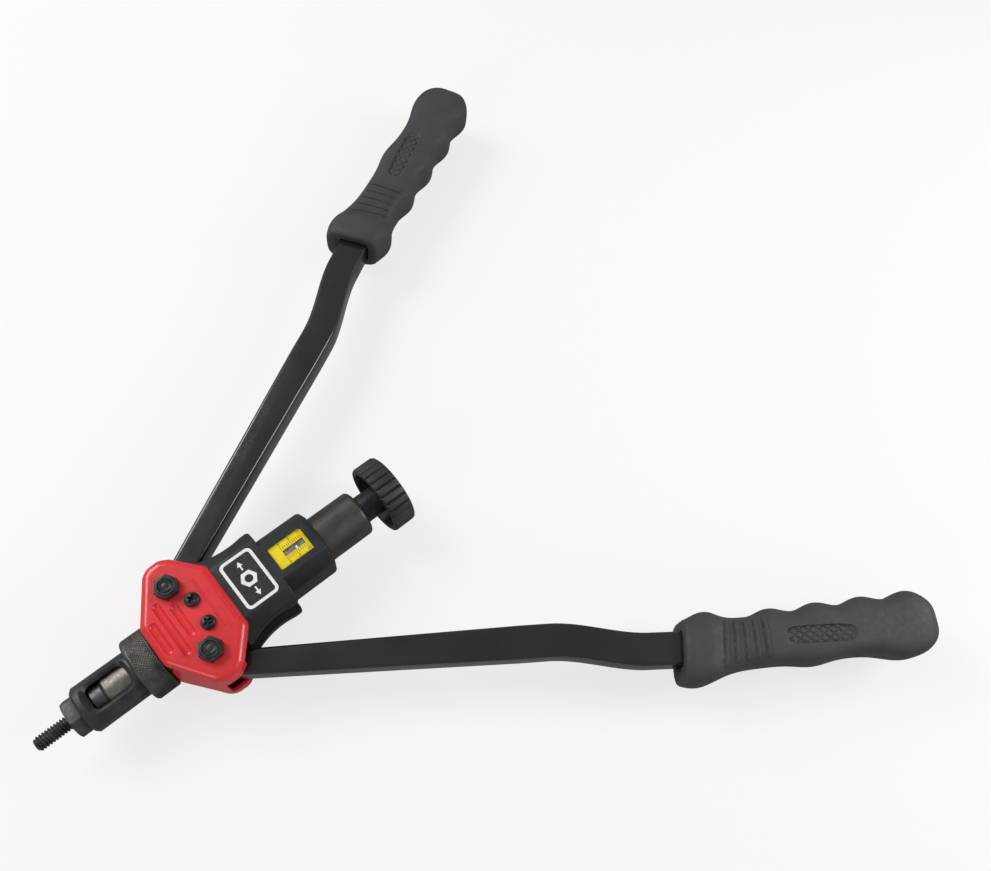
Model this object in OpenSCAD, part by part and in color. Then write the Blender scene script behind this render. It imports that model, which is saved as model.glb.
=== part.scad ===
// Two-handed rivet nut setting tool.
// The tool axis is X, with the mandrel pointing to +X, and the front face looks up along +Z.
// The origin lies on the tool axis, in the front face of the hex anvil.
// Lengths along the axis are measured back from that face, so a station d lies at x = -d.

/* [Mandrel and nose] */
// Outside diameter of the mandrel thread
mandrel_d = 6.35; // [5:0.05:7]
// Length of mandrel standing out of the anvil
mandrel_reach = 15; // [10:0.5:20]
// Hex anvil across flats
anvil_af = 15.6; // [14.5:0.1:17]
// Length of the hex in front of the sleeve
anvil_len = 5.2; // [4:0.2:8]
// Outside diameter of the nose sleeve
sleeve_d = 21.4; // [21:0.1:23]
// Length of sleeve seen between the hex and the lock ring
sleeve_len = 24.7; // [24:0.1:30]
// Length of the window in the sleeve
window_len = 16.6; // [10:0.2:16.8]
// Width of the window in the sleeve
window_w = 10.8; // [6:0.2:11.6]
// Outside diameter of the knurled lock ring
ring_d = 29; // [27:0.2:30]
// Width of the lock ring along the axis
ring_len = 10.6; // [8:0.2:12]

/* [Head] */
// Distance from the front of the casting back to the lever pivots
pivot_set = 17.6; // [17.4:0.1:18.5]
// Distance of each lever pivot from the tool axis
pivot_half = 16.2; // [16:0.1:16.8]
// Diameter of the pivot bolts
bolt_d = 6; // [5:0.1:6.4]
// Pivot nuts and bolt heads across flats
nut_af = 9.2; // [8.5:0.1:10]
// Height of a pivot nut
nut_h = 4.5; // [3.5:0.1:5]
// Half width of the red covers across the tool
cover_half_w = 30; // [29:0.2:32]
// Half thickness of the closed covers, front to back
cover_half_h = 17.5; // [17.3:0.1:18.5]
// Sheet thickness of the covers
cover_wall = 1.5; // [1.2:0.1:1.6]
// Bevel around the face of each cover
cover_bevel = 3; // [2:0.2:3.4]
// Diameter of the cover screw heads
screw_head_d = 6.2; // [5:0.1:6.6]

/* [Body casting] */
// Length of the shouldered part of the casting behind the pivots
shoulder_len = 39.1; // [38.6:0.1:41]
// Half width of the shoulders
shoulder_half_w = 19.1; // [18.8:0.1:19.6]
// Clearance of the casting's faces behind the inside of the covers
casting_clear = 0.7; // [0.5:0.05:0.9]
// Length of the tail block
tail_len = 22.9; // [22.6:0.1:25]
// Half width of the tail block
tail_half_w = 14.3; // [14:0.1:15]

/* [Levers] */
// Angle of the upper lever from the tool axis, standing open
upper_open = 29.5; // [24:0.5:34]
// Angle of the lower lever from the tool axis, standing open
lower_open = 36.8; // [30:0.4:40]
// Angle of both levers from the tool axis when squeezed shut
closed_angle = 7; // [6:0.5:8]
// Thickness of the lever arms, front to back
lever_t = 12.4; // [10:0.2:13]
// Width of the lever arm at its widest
lever_w = 14.1; // [12.5:0.1:15]
// Distance from the pivot to the mouth of the grip
grip_start = 198; // [190:1:210]
// Outward set of the arm before the grip
lever_bend = 7; // [4:0.5:8]
// Length of a grip
grip_len = 123; // [115:1:130]
// Thickness of a grip, front to back
grip_t = 22; // [20:0.5:24]
// Distance between finger bumps
finger_pitch = 22.2; // [20:0.2:23]

/* [Draw gear] */
// Diameter of the draw spindle
spindle_d = 8; // [7:0.1:8]
// Distance from a lever pivot to the centre of its heel
heel_arm = 12; // [11.6:0.1:12]
// Radius of the rounded heel
heel_r = 3.5; // [3:0.1:3.6]
// Diameter of the mandrel chuck
chuck_d = 14.8; // [14:0.1:15]

/* [Stroke adjuster and knob] */
// Thickness of the stroke slider between the scale and the adjuster tube
slider_t = 2.1; // [2:0.05:2.3]
// Length of the tube seen behind the casting
tube_len = 22.6; // [19:0.1:24]
// Diameter of the knob
knob_d = 34.2; // [30:0.2:38]
// Thickness of the knob
knob_len = 11.4; // [9:0.2:14]
// Free length of hub between the tube and the knob
knob_gap = 8; // [7.5:0.1:12]
// Number of flutes around the knob
knob_flutes = 26; // [18:1:32]
// Diameter of the hub that carries the knob
hub_d = 13.4; // [12:0.1:13.8]
// Length of the stroke scale along the axis
scale_len = 16.3; // [15.5:0.1:16.5]

/* [Hidden] */
$fn = 64;
gap = 0.3;
fit = 0.05;

// Stations along the axis, measured back from the anvil face
spigot_len = 5;
anvil_turn = 6;
sleeve_front = anvil_len;
spigot_end = sleeve_front + spigot_len;
ring_front = sleeve_front + sleeve_len;
ring_back = ring_front + ring_len;
body_front = ring_back + gap;
pivot_d = body_front + pivot_set;
boss_end = pivot_d - 4.9;
shoulder_end = pivot_d + shoulder_len;
tail_end = shoulder_end + tail_len;
tube_end = tail_end + tube_len;
knob_front = tube_end + knob_gap;
knob_end = knob_front + knob_len;

// Nose
sleeve_r = sleeve_d / 2;
thread_r = sleeve_r - 0.9;
bore_r = chuck_d / 2 + 0.5;
sleeve_end = boss_end - 2.2;
head_front = spigot_end + 0.6;
head_len = 5.5;
chuck_front = head_front + head_len;
chuck_end = sleeve_end - 5.5;
mandrel_tail = 12;
tail_af = 7;

// Travel of the draw gear, worked out from the upper lever
heel_shut = 13;
upper_swing = upper_open - closed_angle;
draw_travel = heel_arm * (sin(heel_shut) + sin(upper_swing - heel_shut));
heel_rest = heel_r - heel_arm * sin(upper_swing - heel_shut);
plate_back = pivot_d - heel_rest - gap;
slider_in = 3.5;
slider_out = 2.5;

// Levels front to back
slide_clear = 0.4;
cover_in = cover_half_h - cover_wall;
body_half_h = cover_in - casting_clear;
rail_half_h = cover_in - slide_clear;
head_half_t = 7.6;
yoke_z = head_half_t + slide_clear;
yoke_t = 2;
rail_z = yoke_z + yoke_t + slide_clear;
slot_z = yoke_z + 0.2;
arm_slot_z = lever_t / 2 + 0.7;

// Draw block
spindle_r = spindle_d / 2;
eye_r = bolt_d / 2 + 3.4;
bush_r = bolt_d / 2 + 1.5;
boss_half = pivot_half - 4.6;
rail_half = pivot_half - bush_r - 0.7;
spine = pivot_half - 3.4;
block_front = pivot_d + 9.1;
block_back = block_front + 9;
block_half_w = 9;
post_d = pivot_d + 5.1;
post_half = 6;
post_r = 3;
washer_t = 1.5;
collar_front = block_back + washer_t;
collar_len = 7;
collar_r = 8;
rivet_d = block_front + 4.5;
rivet_half = 6.4;

// Tail
scale_z = body_half_h - 1.4;
scale_t = 0.6;
tube_r = scale_z - gap - slider_t - 0.45;
tube_thread_r = tube_r - 1.55;
tube_front = collar_front + collar_len + draw_travel + slider_in + 0.4;
tube_step = shoulder_end + 14.5;
groove_d = tube_step + 1.7;
groove_w = 2.6;
groove_r = tube_r - 1.25;
key_front = shoulder_end - 0.5;
key_back = tail_end - 1.3;
scale_front = shoulder_end + 1.6;
scale_half_w = 5.7;
slot_front = scale_front + 4.7;
slot_len = 10.2;
slot_half_w = 1.45;

// Solid turned about the tool axis from [radius, station] points
module turned(points) {
    rotate([0, -90, 0])
        rotate_extrude()
            polygon(points);
}

// Plain rod or bore along the tool axis
module rod(d0, d1, r) {
    translate([-d1, 0, 0])
        rotate([0, 90, 0])
            cylinder(h = d1 - d0, r = r);
}

// Box from two stations, a half width and two heights
module block(d0, d1, half_w, z0, z1) {
    translate([-d1, -half_w, z0])
        cube([d1 - d0, 2 * half_w, z1 - z0]);
}

// Hex prism along the tool axis, with a flat toward the front face
module hex_rod(d0, d1, af) {
    translate([-d1, 0, 0])
        rotate([0, 90, 0])
            rotate([0, 0, 30])
                cylinder(h = d1 - d0, r = af / sqrt(3), $fn = 6);
}

// Both sides of the tool axis
module both_sides() {
    children();
    mirror([0, 1, 0])
        children();
}

// Front half and rear half of the tool
module both_faces() {
    children();
    mirror([0, 0, 1])
        children();
}

// Lever frame: x runs from the pivot to the grip and y points to the tool axis
module at_lever(side, angle) {
    mirror([0, side > 0 ? 0 : 1, 0])
        translate([-pivot_d, pivot_half, 0])
            rotate([0, 0, 180 - angle])
                children();
}

// Cross pin of a spindle piece
module cross_pin(d, r, length) {
    translate([-d, 0, -length / 2])
        cylinder(h = length, r = r);
}

module mandrel() {
    r = mandrel_d / 2;
    color("dimgray") {
        turned([[0, -mandrel_reach], [r - 0.9, -mandrel_reach], [r, 0.9 - mandrel_reach],
            [r, 0], [r - 0.35, 0], [r - 0.35, head_front], [bore_r - 1.4, head_front],
            [bore_r - 1.4, chuck_front - 0.1], [0, chuck_front - 0.1]]);
        hex_rod(chuck_front - 0.2, chuck_front + mandrel_tail, tail_af);
    }
}

module hex_anvil() {
    corner_r = anvil_af / sqrt(3);
    color("slategray")
        difference() {
            union() {
                intersection() {
                    rotate([anvil_turn, 0, 0])
                        hex_rod(0, anvil_len, anvil_af);
                    turned([[0, 0], [corner_r - 1.1, 0], [corner_r + 0.1, 0.7],
                        [corner_r + 0.1, anvil_len], [0, anvil_len]]);
                }
                rod(anvil_len - 0.1, spigot_end, bore_r - 0.5);
            }
            rod(-1, spigot_end + 1, mandrel_d / 2 + gap);
        }
}

// Rounded opening through the front wall of the sleeve
module window_cut() {
    corner = 2.8;
    middle = (spigot_end + 0.5 + ring_front - 3.4) / 2;
    translate([-middle, 0, 0])
        linear_extrude(height = sleeve_r + 1) {
            square([window_len - 2 * corner, window_w], center = true);
            square([window_len, window_w - 2 * corner], center = true);
            for (x = [-1, 1], y = [-1, 1])
                translate([x * (window_len / 2 - corner), y * (window_w / 2 - corner)])
                    circle(r = corner, $fn = 32);
        }
}

module nose_sleeve() {
    step = ring_front + 0.6;
    color("dimgray")
        difference() {
            turned([[bore_r - 0.5 + fit, sleeve_front], [sleeve_r - 1.1, sleeve_front],
                [sleeve_r, sleeve_front + 1.2], [sleeve_r, step], [thread_r, step],
                [thread_r, sleeve_end], [bore_r, sleeve_end], [bore_r, spigot_end],
                [bore_r - 0.5 + fit, spigot_end]]);
            window_cut();
        }
}

module lock_ring() {
    r = ring_d / 2;
    edge = 1.8;
    color("darkslategray")
        turned(concat(
            [[thread_r + fit, ring_back], [thread_r + fit, ring_front + 0.9],
                [sleeve_r + gap, ring_front + 0.9], [sleeve_r + gap, ring_front]],
            [for (a = [90:-15:0])
                [r - edge + edge * cos(a), ring_front + edge - edge * sin(a)]],
            [[r, ring_back - 0.5], [r - 0.5, ring_back]]));
}

// Half width of the casting's flank, narrowest at mid length
function flank(d) = shoulder_half_w - 0.9 + 0.0181 * pow(d - (pivot_d + 28.3), 2);

// Outline of one side of the casting seen from the front, from the head to the tail
function flank_points() = concat(
    [for (i = [0:8]) let (d = pivot_d + 12.6 + i * 2.8) [-d, flank(d)]],
    [[-(shoulder_end - 1), shoulder_half_w], [-shoulder_end, shoulder_half_w - 1],
        [-shoulder_end, tail_half_w], [-(tail_end - 2.6), tail_half_w],
        [-tail_end, tail_half_w - 2], [-tail_end, 0], [-(pivot_d + 12.6), 0]]);

// Eight-sided section of the casting, with a flat face and sloping shoulders
module casting_section(d0, d1, flat_w, side_w, side_z) {
    translate([-d0, 0, 0])
        rotate([90, 0, -90])
            linear_extrude(height = d1 - d0)
                polygon([[flat_w, body_half_h], [side_w, side_z], [side_w, -side_z],
                    [flat_w, -body_half_h], [-flat_w, -body_half_h], [-side_w, -side_z],
                    [-side_w, side_z], [-flat_w, body_half_h]]);
}

// Long holes in the front and rear walls for the posts of the draw gear
module post_slots() {
    both_sides()
        block_at(post_d - post_r - gap, post_d + post_r + draw_travel + gap,
            post_half - post_r - gap, post_half + post_r + gap, cover_half_h);
}

module block_at(d0, d1, y0, y1, half_h) {
    translate([-d1, y0, -half_h])
        cube([d1 - d0, y1 - y0, 2 * half_h]);
}

module body_casting() {
    color("black")
        difference() {
            union() {
                block(body_front, boss_end, boss_half, -rail_half_h, rail_half_h);
                both_faces()
                    block(body_front, pivot_d + 18, rail_half, rail_z, rail_half_h);
                intersection() {
                    both_sides()
                        translate([0, 0, -body_half_h])
                            linear_extrude(height = 2 * body_half_h)
                                polygon(flank_points());
                    union() {
                        casting_section(pivot_d + 12.6, shoulder_end, 13, shoulder_half_w + 2.9, 8.8);
                        casting_section(shoulder_end - 0.1, tail_end, 8.9, tail_half_w, 7.5);
                    }
                }
            }
            rod(body_front - 1, sleeve_end + gap, thread_r + fit);
            rod(sleeve_end, boss_end + 1, bore_r);
            block(boss_end, block_back + draw_travel + 1, block_half_w + 0.6, -rail_z, rail_z);
            rod(boss_end, tube_front - 1, collar_r + 0.6);
            rod(tube_front - slider_in - 0.3, tail_end + 1, tube_thread_r + fit);
            rod(tube_step - slider_in - 0.5, tail_end + 1, tube_r + gap);
            both_sides()
                block_at(pivot_d, shoulder_end + 0.1, spine, cover_half_w, arm_slot_z);
            post_slots();
            block(key_front, key_back, 1.9, 5, scale_z + 0.01);
            block(scale_front - 0.05, scale_front + scale_len + 0.05, scale_half_w + 0.05, scale_z,
                cover_half_h);
        }
}

module fulcrum_plate() {
    color("lightsteelblue")
        difference() {
            block(boss_end, plate_back, 7, -9.4, 9.4);
            rod(boss_end - 1, plate_back + 1, spindle_r + 0.5);
        }
}

module scale_plate() {
    color("gold")
        difference() {
            block(scale_front, scale_front + scale_len, scale_half_w, scale_z, scale_z + scale_t);
            block(slot_front, slot_front + slot_len, slot_half_w, scale_z - 1, scale_z + 2);
        }
}

module stroke_slider() {
    top = scale_z - gap;
    low = tube_r + 0.45;
    color("gray") {
        block(slot_front - 2.1, groove_d + 2.3, 1.6, low, top);
        block(groove_d + gap, groove_d + groove_w - gap, 1.6, groove_r + gap, low + 0.1);
    }
}

module stroke_tube() {
    edge = 2;
    bore = hub_d / 2 + 0.6;
    color("dimgray")
        turned(concat(
            [[spindle_r + 0.6, tube_front], [tube_thread_r, tube_front],
                [tube_thread_r, tube_step], [tube_r, tube_step], [tube_r, groove_d],
                [groove_r, groove_d], [groove_r, groove_d + groove_w],
                [tube_r, groove_d + groove_w]],
            [for (a = [0:15:90])
                [tube_r - edge + edge * cos(a), tube_end - edge + edge * sin(a)]],
            [[bore, tube_end], [bore, tube_front + 5], [spindle_r + 0.6, tube_front + 5]]));
}

module draw_block() {
    color("lightsteelblue")
        difference() {
            block(block_front, block_back, block_half_w, -yoke_z, yoke_z);
            rod(block_front - 1, block_back + 1, spindle_r + fit);
            both_sides()
                translate([-rivet_d, rivet_half, -yoke_z - 1])
                    cylinder(h = 2 * yoke_z + 2, r = 2);
        }
}

// Plate that ties the two lever pivots to the draw block
module yoke_outline() {
    translate([-block_back, -block_half_w])
        square([block_back - post_d + 4, 2 * block_half_w]);
    both_sides() {
        translate([-pivot_d, pivot_half])
            circle(r = 6);
        translate([-post_d, post_half])
            rotate([0, 0, atan2(pivot_half - post_half, post_d - pivot_d)])
                translate([0, -4])
                    square([norm([post_d - pivot_d, pivot_half - post_half]), 8]);
    }
}

module yoke_plate() {
    difference() {
        union() {
            translate([0, 0, yoke_z])
                linear_extrude(height = yoke_t)
                    yoke_outline();
            both_sides()
                translate([-post_d, post_half, yoke_z])
                    cylinder(h = cover_in - yoke_z, r = post_r);
        }
        both_sides() {
            translate([-pivot_d, pivot_half, 0])
                cylinder(h = cover_half_h, r = bolt_d / 2 + fit);
            translate([-rivet_d, rivet_half, 0])
                cylinder(h = cover_half_h, r = 2);
            translate([-post_d, post_half, cover_in - 5])
                cylinder(h = 6, r = 1.75);
        }
    }
}

module front_yoke_plate() {
    color("silver")
        yoke_plate();
}

module rear_yoke_plate() {
    color("silver")
        mirror([0, 0, 1])
            yoke_plate();
}

module yoke_rivets() {
    color("silver")
        both_sides()
            translate([-rivet_d, rivet_half, -yoke_z - yoke_t])
                cylinder(h = 2 * (yoke_z + yoke_t), r = 2);
}

// Outline of the covers, drawn in by a given amount
module cover_outline(inset) {
    front = body_front - gap - pivot_d;
    half = [[front + inset, 0], [front + inset, 11.2 - 0.5 * inset], [-7, cover_half_w - 2 - inset],
        [-3.6, cover_half_w - inset], [3.2, cover_half_w - inset], [7.2, cover_half_w - 2.4 - inset],
        [17 - inset, 16 - 0.4 * inset], [17.6 - inset, 14.2 - 0.4 * inset], [17.6 - inset, 0]];
    both_sides()
        polygon([for (p = half) [-(pivot_d + p[0]), p[1]]]);
}

module cover() {
    rim = cover_half_h - cover_bevel;
    front = body_front - gap;
    difference() {
        union() {
            translate([0, 0, gap / 2])
                linear_extrude(height = rim - gap / 2)
                    cover_outline(0);
            hull() {
                translate([0, 0, rim - 0.1])
                    linear_extrude(height = 0.1)
                        cover_outline(0);
                translate([0, 0, cover_half_h - 0.1])
                    linear_extrude(height = 0.1)
                        cover_outline(cover_bevel);
            }
        }
        translate([0, 0, -1])
            linear_extrude(height = rim + 1)
                cover_outline(cover_wall);
        hull() {
            translate([0, 0, rim - 0.1])
                linear_extrude(height = 0.1)
                    cover_outline(cover_wall);
            translate([0, 0, cover_in - 0.1])
                linear_extrude(height = 0.1)
                    cover_outline(cover_bevel + 0.6);
        }
        block(front - 1, front + 8, boss_half + 0.6, -1, cover_in);
        block(pivot_d + 7.6, pivot_d + 20, cover_half_w + 1, -1, rim - 1);
        block(pivot_d + 13, pivot_d + 20, 15.6, -1, cover_in - 0.2);
        both_sides() {
            block_at(pivot_d - 3.6, pivot_d + 20, boss_half + 0.8, cover_half_w + 1, slot_z);
            translate([-pivot_d, pivot_half, 0])
                cylinder(h = cover_half_h + 1, r = bolt_d / 2 + fit);
            translate([-post_d, post_half, 0])
                cylinder(h = cover_half_h + 1, r = 1.8);
        }
        cover_grooves();
    }
}

// Three pressed grooves across the face in front of the screws
module cover_grooves() {
    for (g = [[-13.4, 7.2, 0], [-7.8, 12.4, -0.9], [-2.2, 7.5, -1.2]])
        translate([-(pivot_d + g[0]), g[2], cover_half_h - 0.6])
            linear_extrude(height = 1) {
                square([2.4, 2 * g[1]], center = true);
                for (y = [-1, 1])
                    translate([0, y * g[1]])
                        circle(d = 2.4, $fn = 24);
            }
}

module front_cover() {
    color("firebrick")
        cover();
}

module rear_cover() {
    color("firebrick")
        mirror([0, 0, 1])
            cover();
}

module cover_screws() {
    r = screw_head_d / 2;
    both_sides()
        translate([-post_d, post_half, 0])
            rotate_extrude()
                polygon([[0, cover_in - 4.8], [1.7, cover_in - 4.8], [1.7, cover_half_h],
                    [r, cover_half_h], [r, cover_half_h + 1.2], [r - 0.5, cover_half_h + 1.9],
                    [r - 1.3, cover_half_h + 2.3], [0, cover_half_h + 2.4]]);
}

module front_cover_screws() {
    color("black")
        cover_screws();
}

module rear_cover_screws() {
    color("black")
        mirror([0, 0, 1])
            cover_screws();
}

module pivot_bolts() {
    head = 4;
    color("black")
        both_sides()
            translate([-pivot_d, pivot_half, -cover_half_h]) {
                cylinder(h = 2 * cover_half_h + nut_h + 0.5, r = bolt_d / 2);
                translate([0, 0, -head])
                    cylinder(h = head, r = nut_af / sqrt(3), $fn = 6);
            }
}

module pivot_nuts() {
    r = nut_af / sqrt(3);
    color("black")
        both_sides()
            translate([-pivot_d, pivot_half, cover_half_h])
                difference() {
                    intersection() {
                        cylinder(h = nut_h, r = r, $fn = 6);
                        rotate_extrude()
                            polygon([[0, 0], [r + 0.1, 0], [r + 0.1, nut_h - 0.7],
                                [r - 1, nut_h], [0, nut_h]]);
                    }
                    translate([0, 0, -1])
                        cylinder(h = nut_h + 2, r = bolt_d / 2 + fit);
                }
}

module pivot_spacers() {
    color("silver")
        both_faces()
            both_sides()
                translate([-pivot_d, pivot_half, yoke_z + yoke_t])
                    difference() {
                        cylinder(h = cover_in - yoke_z - yoke_t, r = bush_r);
                        translate([0, 0, -1])
                            cylinder(h = cover_in, r = bolt_d / 2 + fit);
                    }
}

// Smooth step from 0 to 1
function ease(t) = let (c = min(1, max(0, t))) c * c * (3 - 2 * c);

// Middle line and half width of the arm along its length
bend_start = grip_start - 58;
bend_end = grip_start - 12;
function arm_mid(s) = -3.1 + 0.0244 * s - lever_bend * ease((s - bend_start) / (bend_end - bend_start));
function arm_half(s) = lever_w / 2 - 1.9 * max(0, 1 - s / 127);

// Stations along the arm, closer together in the bend
function arm_stations() = concat([0, 25, 75, 127],
    [for (i = [0:8]) bend_start + i * (bend_end - bend_start) / 8]);

module arm_outline() {
    last = grip_start + grip_len - 25;
    polygon(concat(
        [for (s = arm_stations()) [s, arm_mid(s) + arm_half(s)]],
        [[grip_start + 14, arm_mid(bend_end) + 4.5], [last, grip_mid(last) + 4.5],
            [last, grip_mid(last) - 4.5], [grip_start + 14, arm_mid(bend_end) - 6]],
        [for (i = [len(arm_stations()) - 1:-1:0])
            let (s = arm_stations()[i]) [s, arm_mid(s) - arm_half(s)]]));
}

// Lever with a round eye, a forked heel and a bent arm
module lever() {
    heel_turn = 90 + heel_shut + closed_angle;
    difference() {
        union() {
            translate([0, 0, -lever_t / 2])
                linear_extrude(height = lever_t)
                    arm_outline();
            translate([0, 0, -head_half_t])
                cylinder(h = 2 * head_half_t, r = eye_r);
            translate([0, 0, -head_half_t])
                linear_extrude(height = 2 * head_half_t)
                    rotate([0, 0, heel_turn]) {
                        translate([0, -heel_r])
                            square([heel_arm, 2 * heel_r - 0.7]);
                        translate([heel_arm, 0])
                            circle(r = heel_r);
                    }
        }
        translate([0, 0, -head_half_t - 1])
            cylinder(h = 2 * head_half_t + 2, r = bush_r);
        translate([0, 0, -spindle_r - 0.5])
            linear_extrude(height = 2 * spindle_r + 1)
                difference() {
                    translate([-20, 6])
                        square([26, 20]);
                    circle(r = pivot_half - spindle_r - 0.8);
                }
    }
}

module upper_lever() {
    color("dimgray")
        at_lever(-1, upper_open)
            lever();
}

module lower_lever() {
    color("dimgray")
        at_lever(1, lower_open)
            lever();
}

module bush() {
    translate([0, 0, -head_half_t])
        difference() {
            cylinder(h = 2 * head_half_t, r = bush_r);
            translate([0, 0, -1])
                cylinder(h = 2 * head_half_t + 2, r = bolt_d / 2 + fit);
        }
}

module upper_bush() {
    color("goldenrod")
        at_lever(-1, upper_open)
            bush();
}

module lower_bush() {
    color("goldenrod")
        at_lever(1, lower_open)
            bush();
}

// Middle line of the grip, which leans in toward the tool axis
function grip_mid(s) = -6.2 + 0.065 * (s - grip_start);

// Outline of the grip: a flared collar, finger bumps inside, a palm swell and a thick end outside
function swell(s, at, reach) = exp(-pow((s - grip_start - at) / reach, 2));
function tail_round(s) =
    let (t = min(1, max(0, (s - grip_start - grip_len + 13) / 13)))
    pow(1 - pow(t, 2.4), 1 / 2.4);
function bump(s) = s < grip_start + 42.2 - finger_pitch / 2 ? 0
    : (1 + cos(360 * (s - grip_start - 42.2) / finger_pitch)) / 2;
function grip_in(s) = tail_round(s)
    * (11.1 + 0.018 * max(0, s - grip_start - 31) + 2.5 * bump(s) + 4.4 * swell(s, 10, 9));
function grip_out(s) = tail_round(s)
    * (11.1 + 5.2 * swell(s, 8.5, 12) + 2 * swell(s, 62, 10) + 3.9 * swell(s, 106, 13));

module grip_outline() {
    steps = [for (i = [0:2:grip_len - 16]) i];
    ends = [for (a = [0:10:90]) grip_len - 13 + 13 * sin(a)];
    all = concat(steps, ends);
    polygon(concat(
        [for (i = all) let (s = grip_start + i) [s, grip_mid(s) + grip_in(s)]],
        [for (j = [len(all) - 2:-1:0]) let (s = grip_start + all[j]) [s, grip_mid(s) - grip_out(s)]]));
}

// Side outline of the grip, thick at the collar and rounded at the end
module grip_side() {
    half = grip_t / 2;
    rotate([90, 0, 0])
        linear_extrude(height = 100, center = true)
            polygon([[grip_start, half - 1], [grip_start + 3, half + 1], [grip_start + 12, half + 1],
                [grip_start + 18, half - 0.6], [grip_start + grip_len - 40, half],
                [grip_start + grip_len - 8, half], [grip_start + grip_len, half - 5],
                [grip_start + grip_len, 5 - half], [grip_start + grip_len - 8, -half],
                [grip_start + grip_len - 40, -half], [grip_start + 18, 0.6 - half],
                [grip_start + 12, -half - 1], [grip_start + 3, -half - 1], [grip_start, 1 - half]]);
}

module grip() {
    difference() {
        intersection() {
            translate([0, 0, -grip_t])
                linear_extrude(height = 2 * grip_t)
                    grip_outline();
            grip_side();
            translate([grip_start, grip_mid(grip_start), 0])
                rotate([0, 90, atan(0.065)])
                    cylinder(h = 2 * grip_len, r = 16.6, center = true);
        }
        translate([0, 0, -lever_t / 2])
            linear_extrude(height = lever_t)
                arm_outline();
    }
}

module upper_grip() {
    color("darkslategray")
        at_lever(-1, upper_open)
            grip();
}

module lower_grip() {
    color("darkslategray")
        at_lever(1, lower_open)
            grip();
}

// Plain ring around the spindle
module spindle_ring(d0, d1, r, hole) {
    difference() {
        rod(d0, d1, r);
        rod(d0 - 1, d1 + 1, hole);
    }
}

module thrust_washer() {
    color("goldenrod")
        spindle_ring(block_back, collar_front, collar_r - 0.4, spindle_r + fit);
}

module thrust_collar() {
    color("silver")
        difference() {
            spindle_ring(collar_front, collar_front + collar_len, collar_r, spindle_r + fit);
            cross_pin(collar_front + collar_len / 2, 1.25, 2 * collar_r + 2);
        }
}

module collar_pin() {
    color("silver")
        cross_pin(collar_front + collar_len / 2, 1.25, 2 * collar_r - 0.8);
}

module retaining_ring() {
    color("silver")
        spindle_ring(block_front - 1.3, block_front - 0.1, spindle_r + 1.6, spindle_r - 0.5);
}

module spindle() {
    neck = spindle_r - 0.5;
    color("lightsteelblue")
        difference() {
            turned([[0, chuck_end - 14], [spindle_r - 0.6, chuck_end - 14],
                [spindle_r, chuck_end - 13.4], [spindle_r, block_front - 1.3],
                [neck, block_front - 1.3], [neck, block_front - 0.1],
                [spindle_r, block_front - 0.1], [spindle_r, knob_end - 5], [0, knob_end - 5]]);
            cross_pin(collar_front + collar_len / 2, 1.25, 2 * collar_r);
            cross_pin(chuck_end - 5, 1.25, chuck_d);
            rod(knob_end - 14, knob_end, 2);
        }
}

module chuck() {
    r = chuck_d / 2;
    color("tan")
        difference() {
            turned([[0, chuck_front], [r - 0.8, chuck_front], [r, chuck_front + 0.8],
                [r, chuck_end - 0.8], [r - 0.8, chuck_end], [0, chuck_end]]);
            hex_rod(chuck_front - 1, chuck_front + mandrel_tail + 0.5, tail_af + 0.1);
            rod(chuck_end - 14.2, chuck_end + 1, spindle_r + fit);
            cross_pin(chuck_end - 5, 1.25, chuck_d + 2);
            chuck_screw_hole(2);
        }
}

module chuck_screw_hole(r) {
    translate([-(chuck_front + 5), 0, -chuck_d])
        cylinder(h = chuck_d, r = r);
}

module chuck_screw() {
    low = chuck_d / 2 - 0.4;
    color("dimgray")
        translate([-(chuck_front + 5), 0, -low])
            cylinder(h = low - tail_af / 2 - 0.05, r = 1.98);
}

module chuck_pin() {
    color("silver")
        cross_pin(chuck_end - 5, 1.25, chuck_d - 1.2);
}

module knob_hub() {
    color("black")
        spindle_ring(tube_end - 3.4, knob_end - 3.2, hub_d / 2, spindle_r + fit);
}

module knob() {
    r = knob_d / 2;
    hub_r = hub_d / 2;
    dish = 6;
    color("black")
        difference() {
            turned([[hub_r + fit, knob_front + dish], [r - 3.4, knob_front + dish],
                [r - 2.6, knob_front], [r - 0.8, knob_front], [r, knob_front + 0.8],
                [r, knob_end - 1.2], [r - 1.2, knob_end], [5.4, knob_end], [5.4, knob_end - 3.1],
                [hub_r + fit, knob_end - 3.1]]);
            for (i = [0:knob_flutes - 1])
                rotate([i * 360 / knob_flutes, 0, 0])
                    translate([0, 0, r + 0.5])
                        rod(knob_front - 1, knob_end + 1, 1.3);
        }
}

module knob_screw() {
    head = knob_end - 3.1;
    color("silver")
        turned([[0, head - 8], [1.95, head - 8], [1.95, head], [4.6, head], [4.6, head + 1.6],
            [3.6, head + 2.4], [0, head + 2.4]]);
}

mandrel();
hex_anvil();
nose_sleeve();
lock_ring();
body_casting();
fulcrum_plate();
scale_plate();
stroke_slider();
stroke_tube();
draw_block();
front_yoke_plate();
rear_yoke_plate();
yoke_rivets();
front_cover();
rear_cover();
front_cover_screws();
rear_cover_screws();
pivot_bolts();
pivot_nuts();
pivot_spacers();
upper_lever();
upper_bush();
upper_grip();
lower_lever();
lower_bush();
lower_grip();
thrust_washer();
thrust_collar();
collar_pin();
retaining_ring();
spindle();
chuck();
chuck_pin();
chuck_screw();
knob_hub();
knob();
knob_screw();
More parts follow.
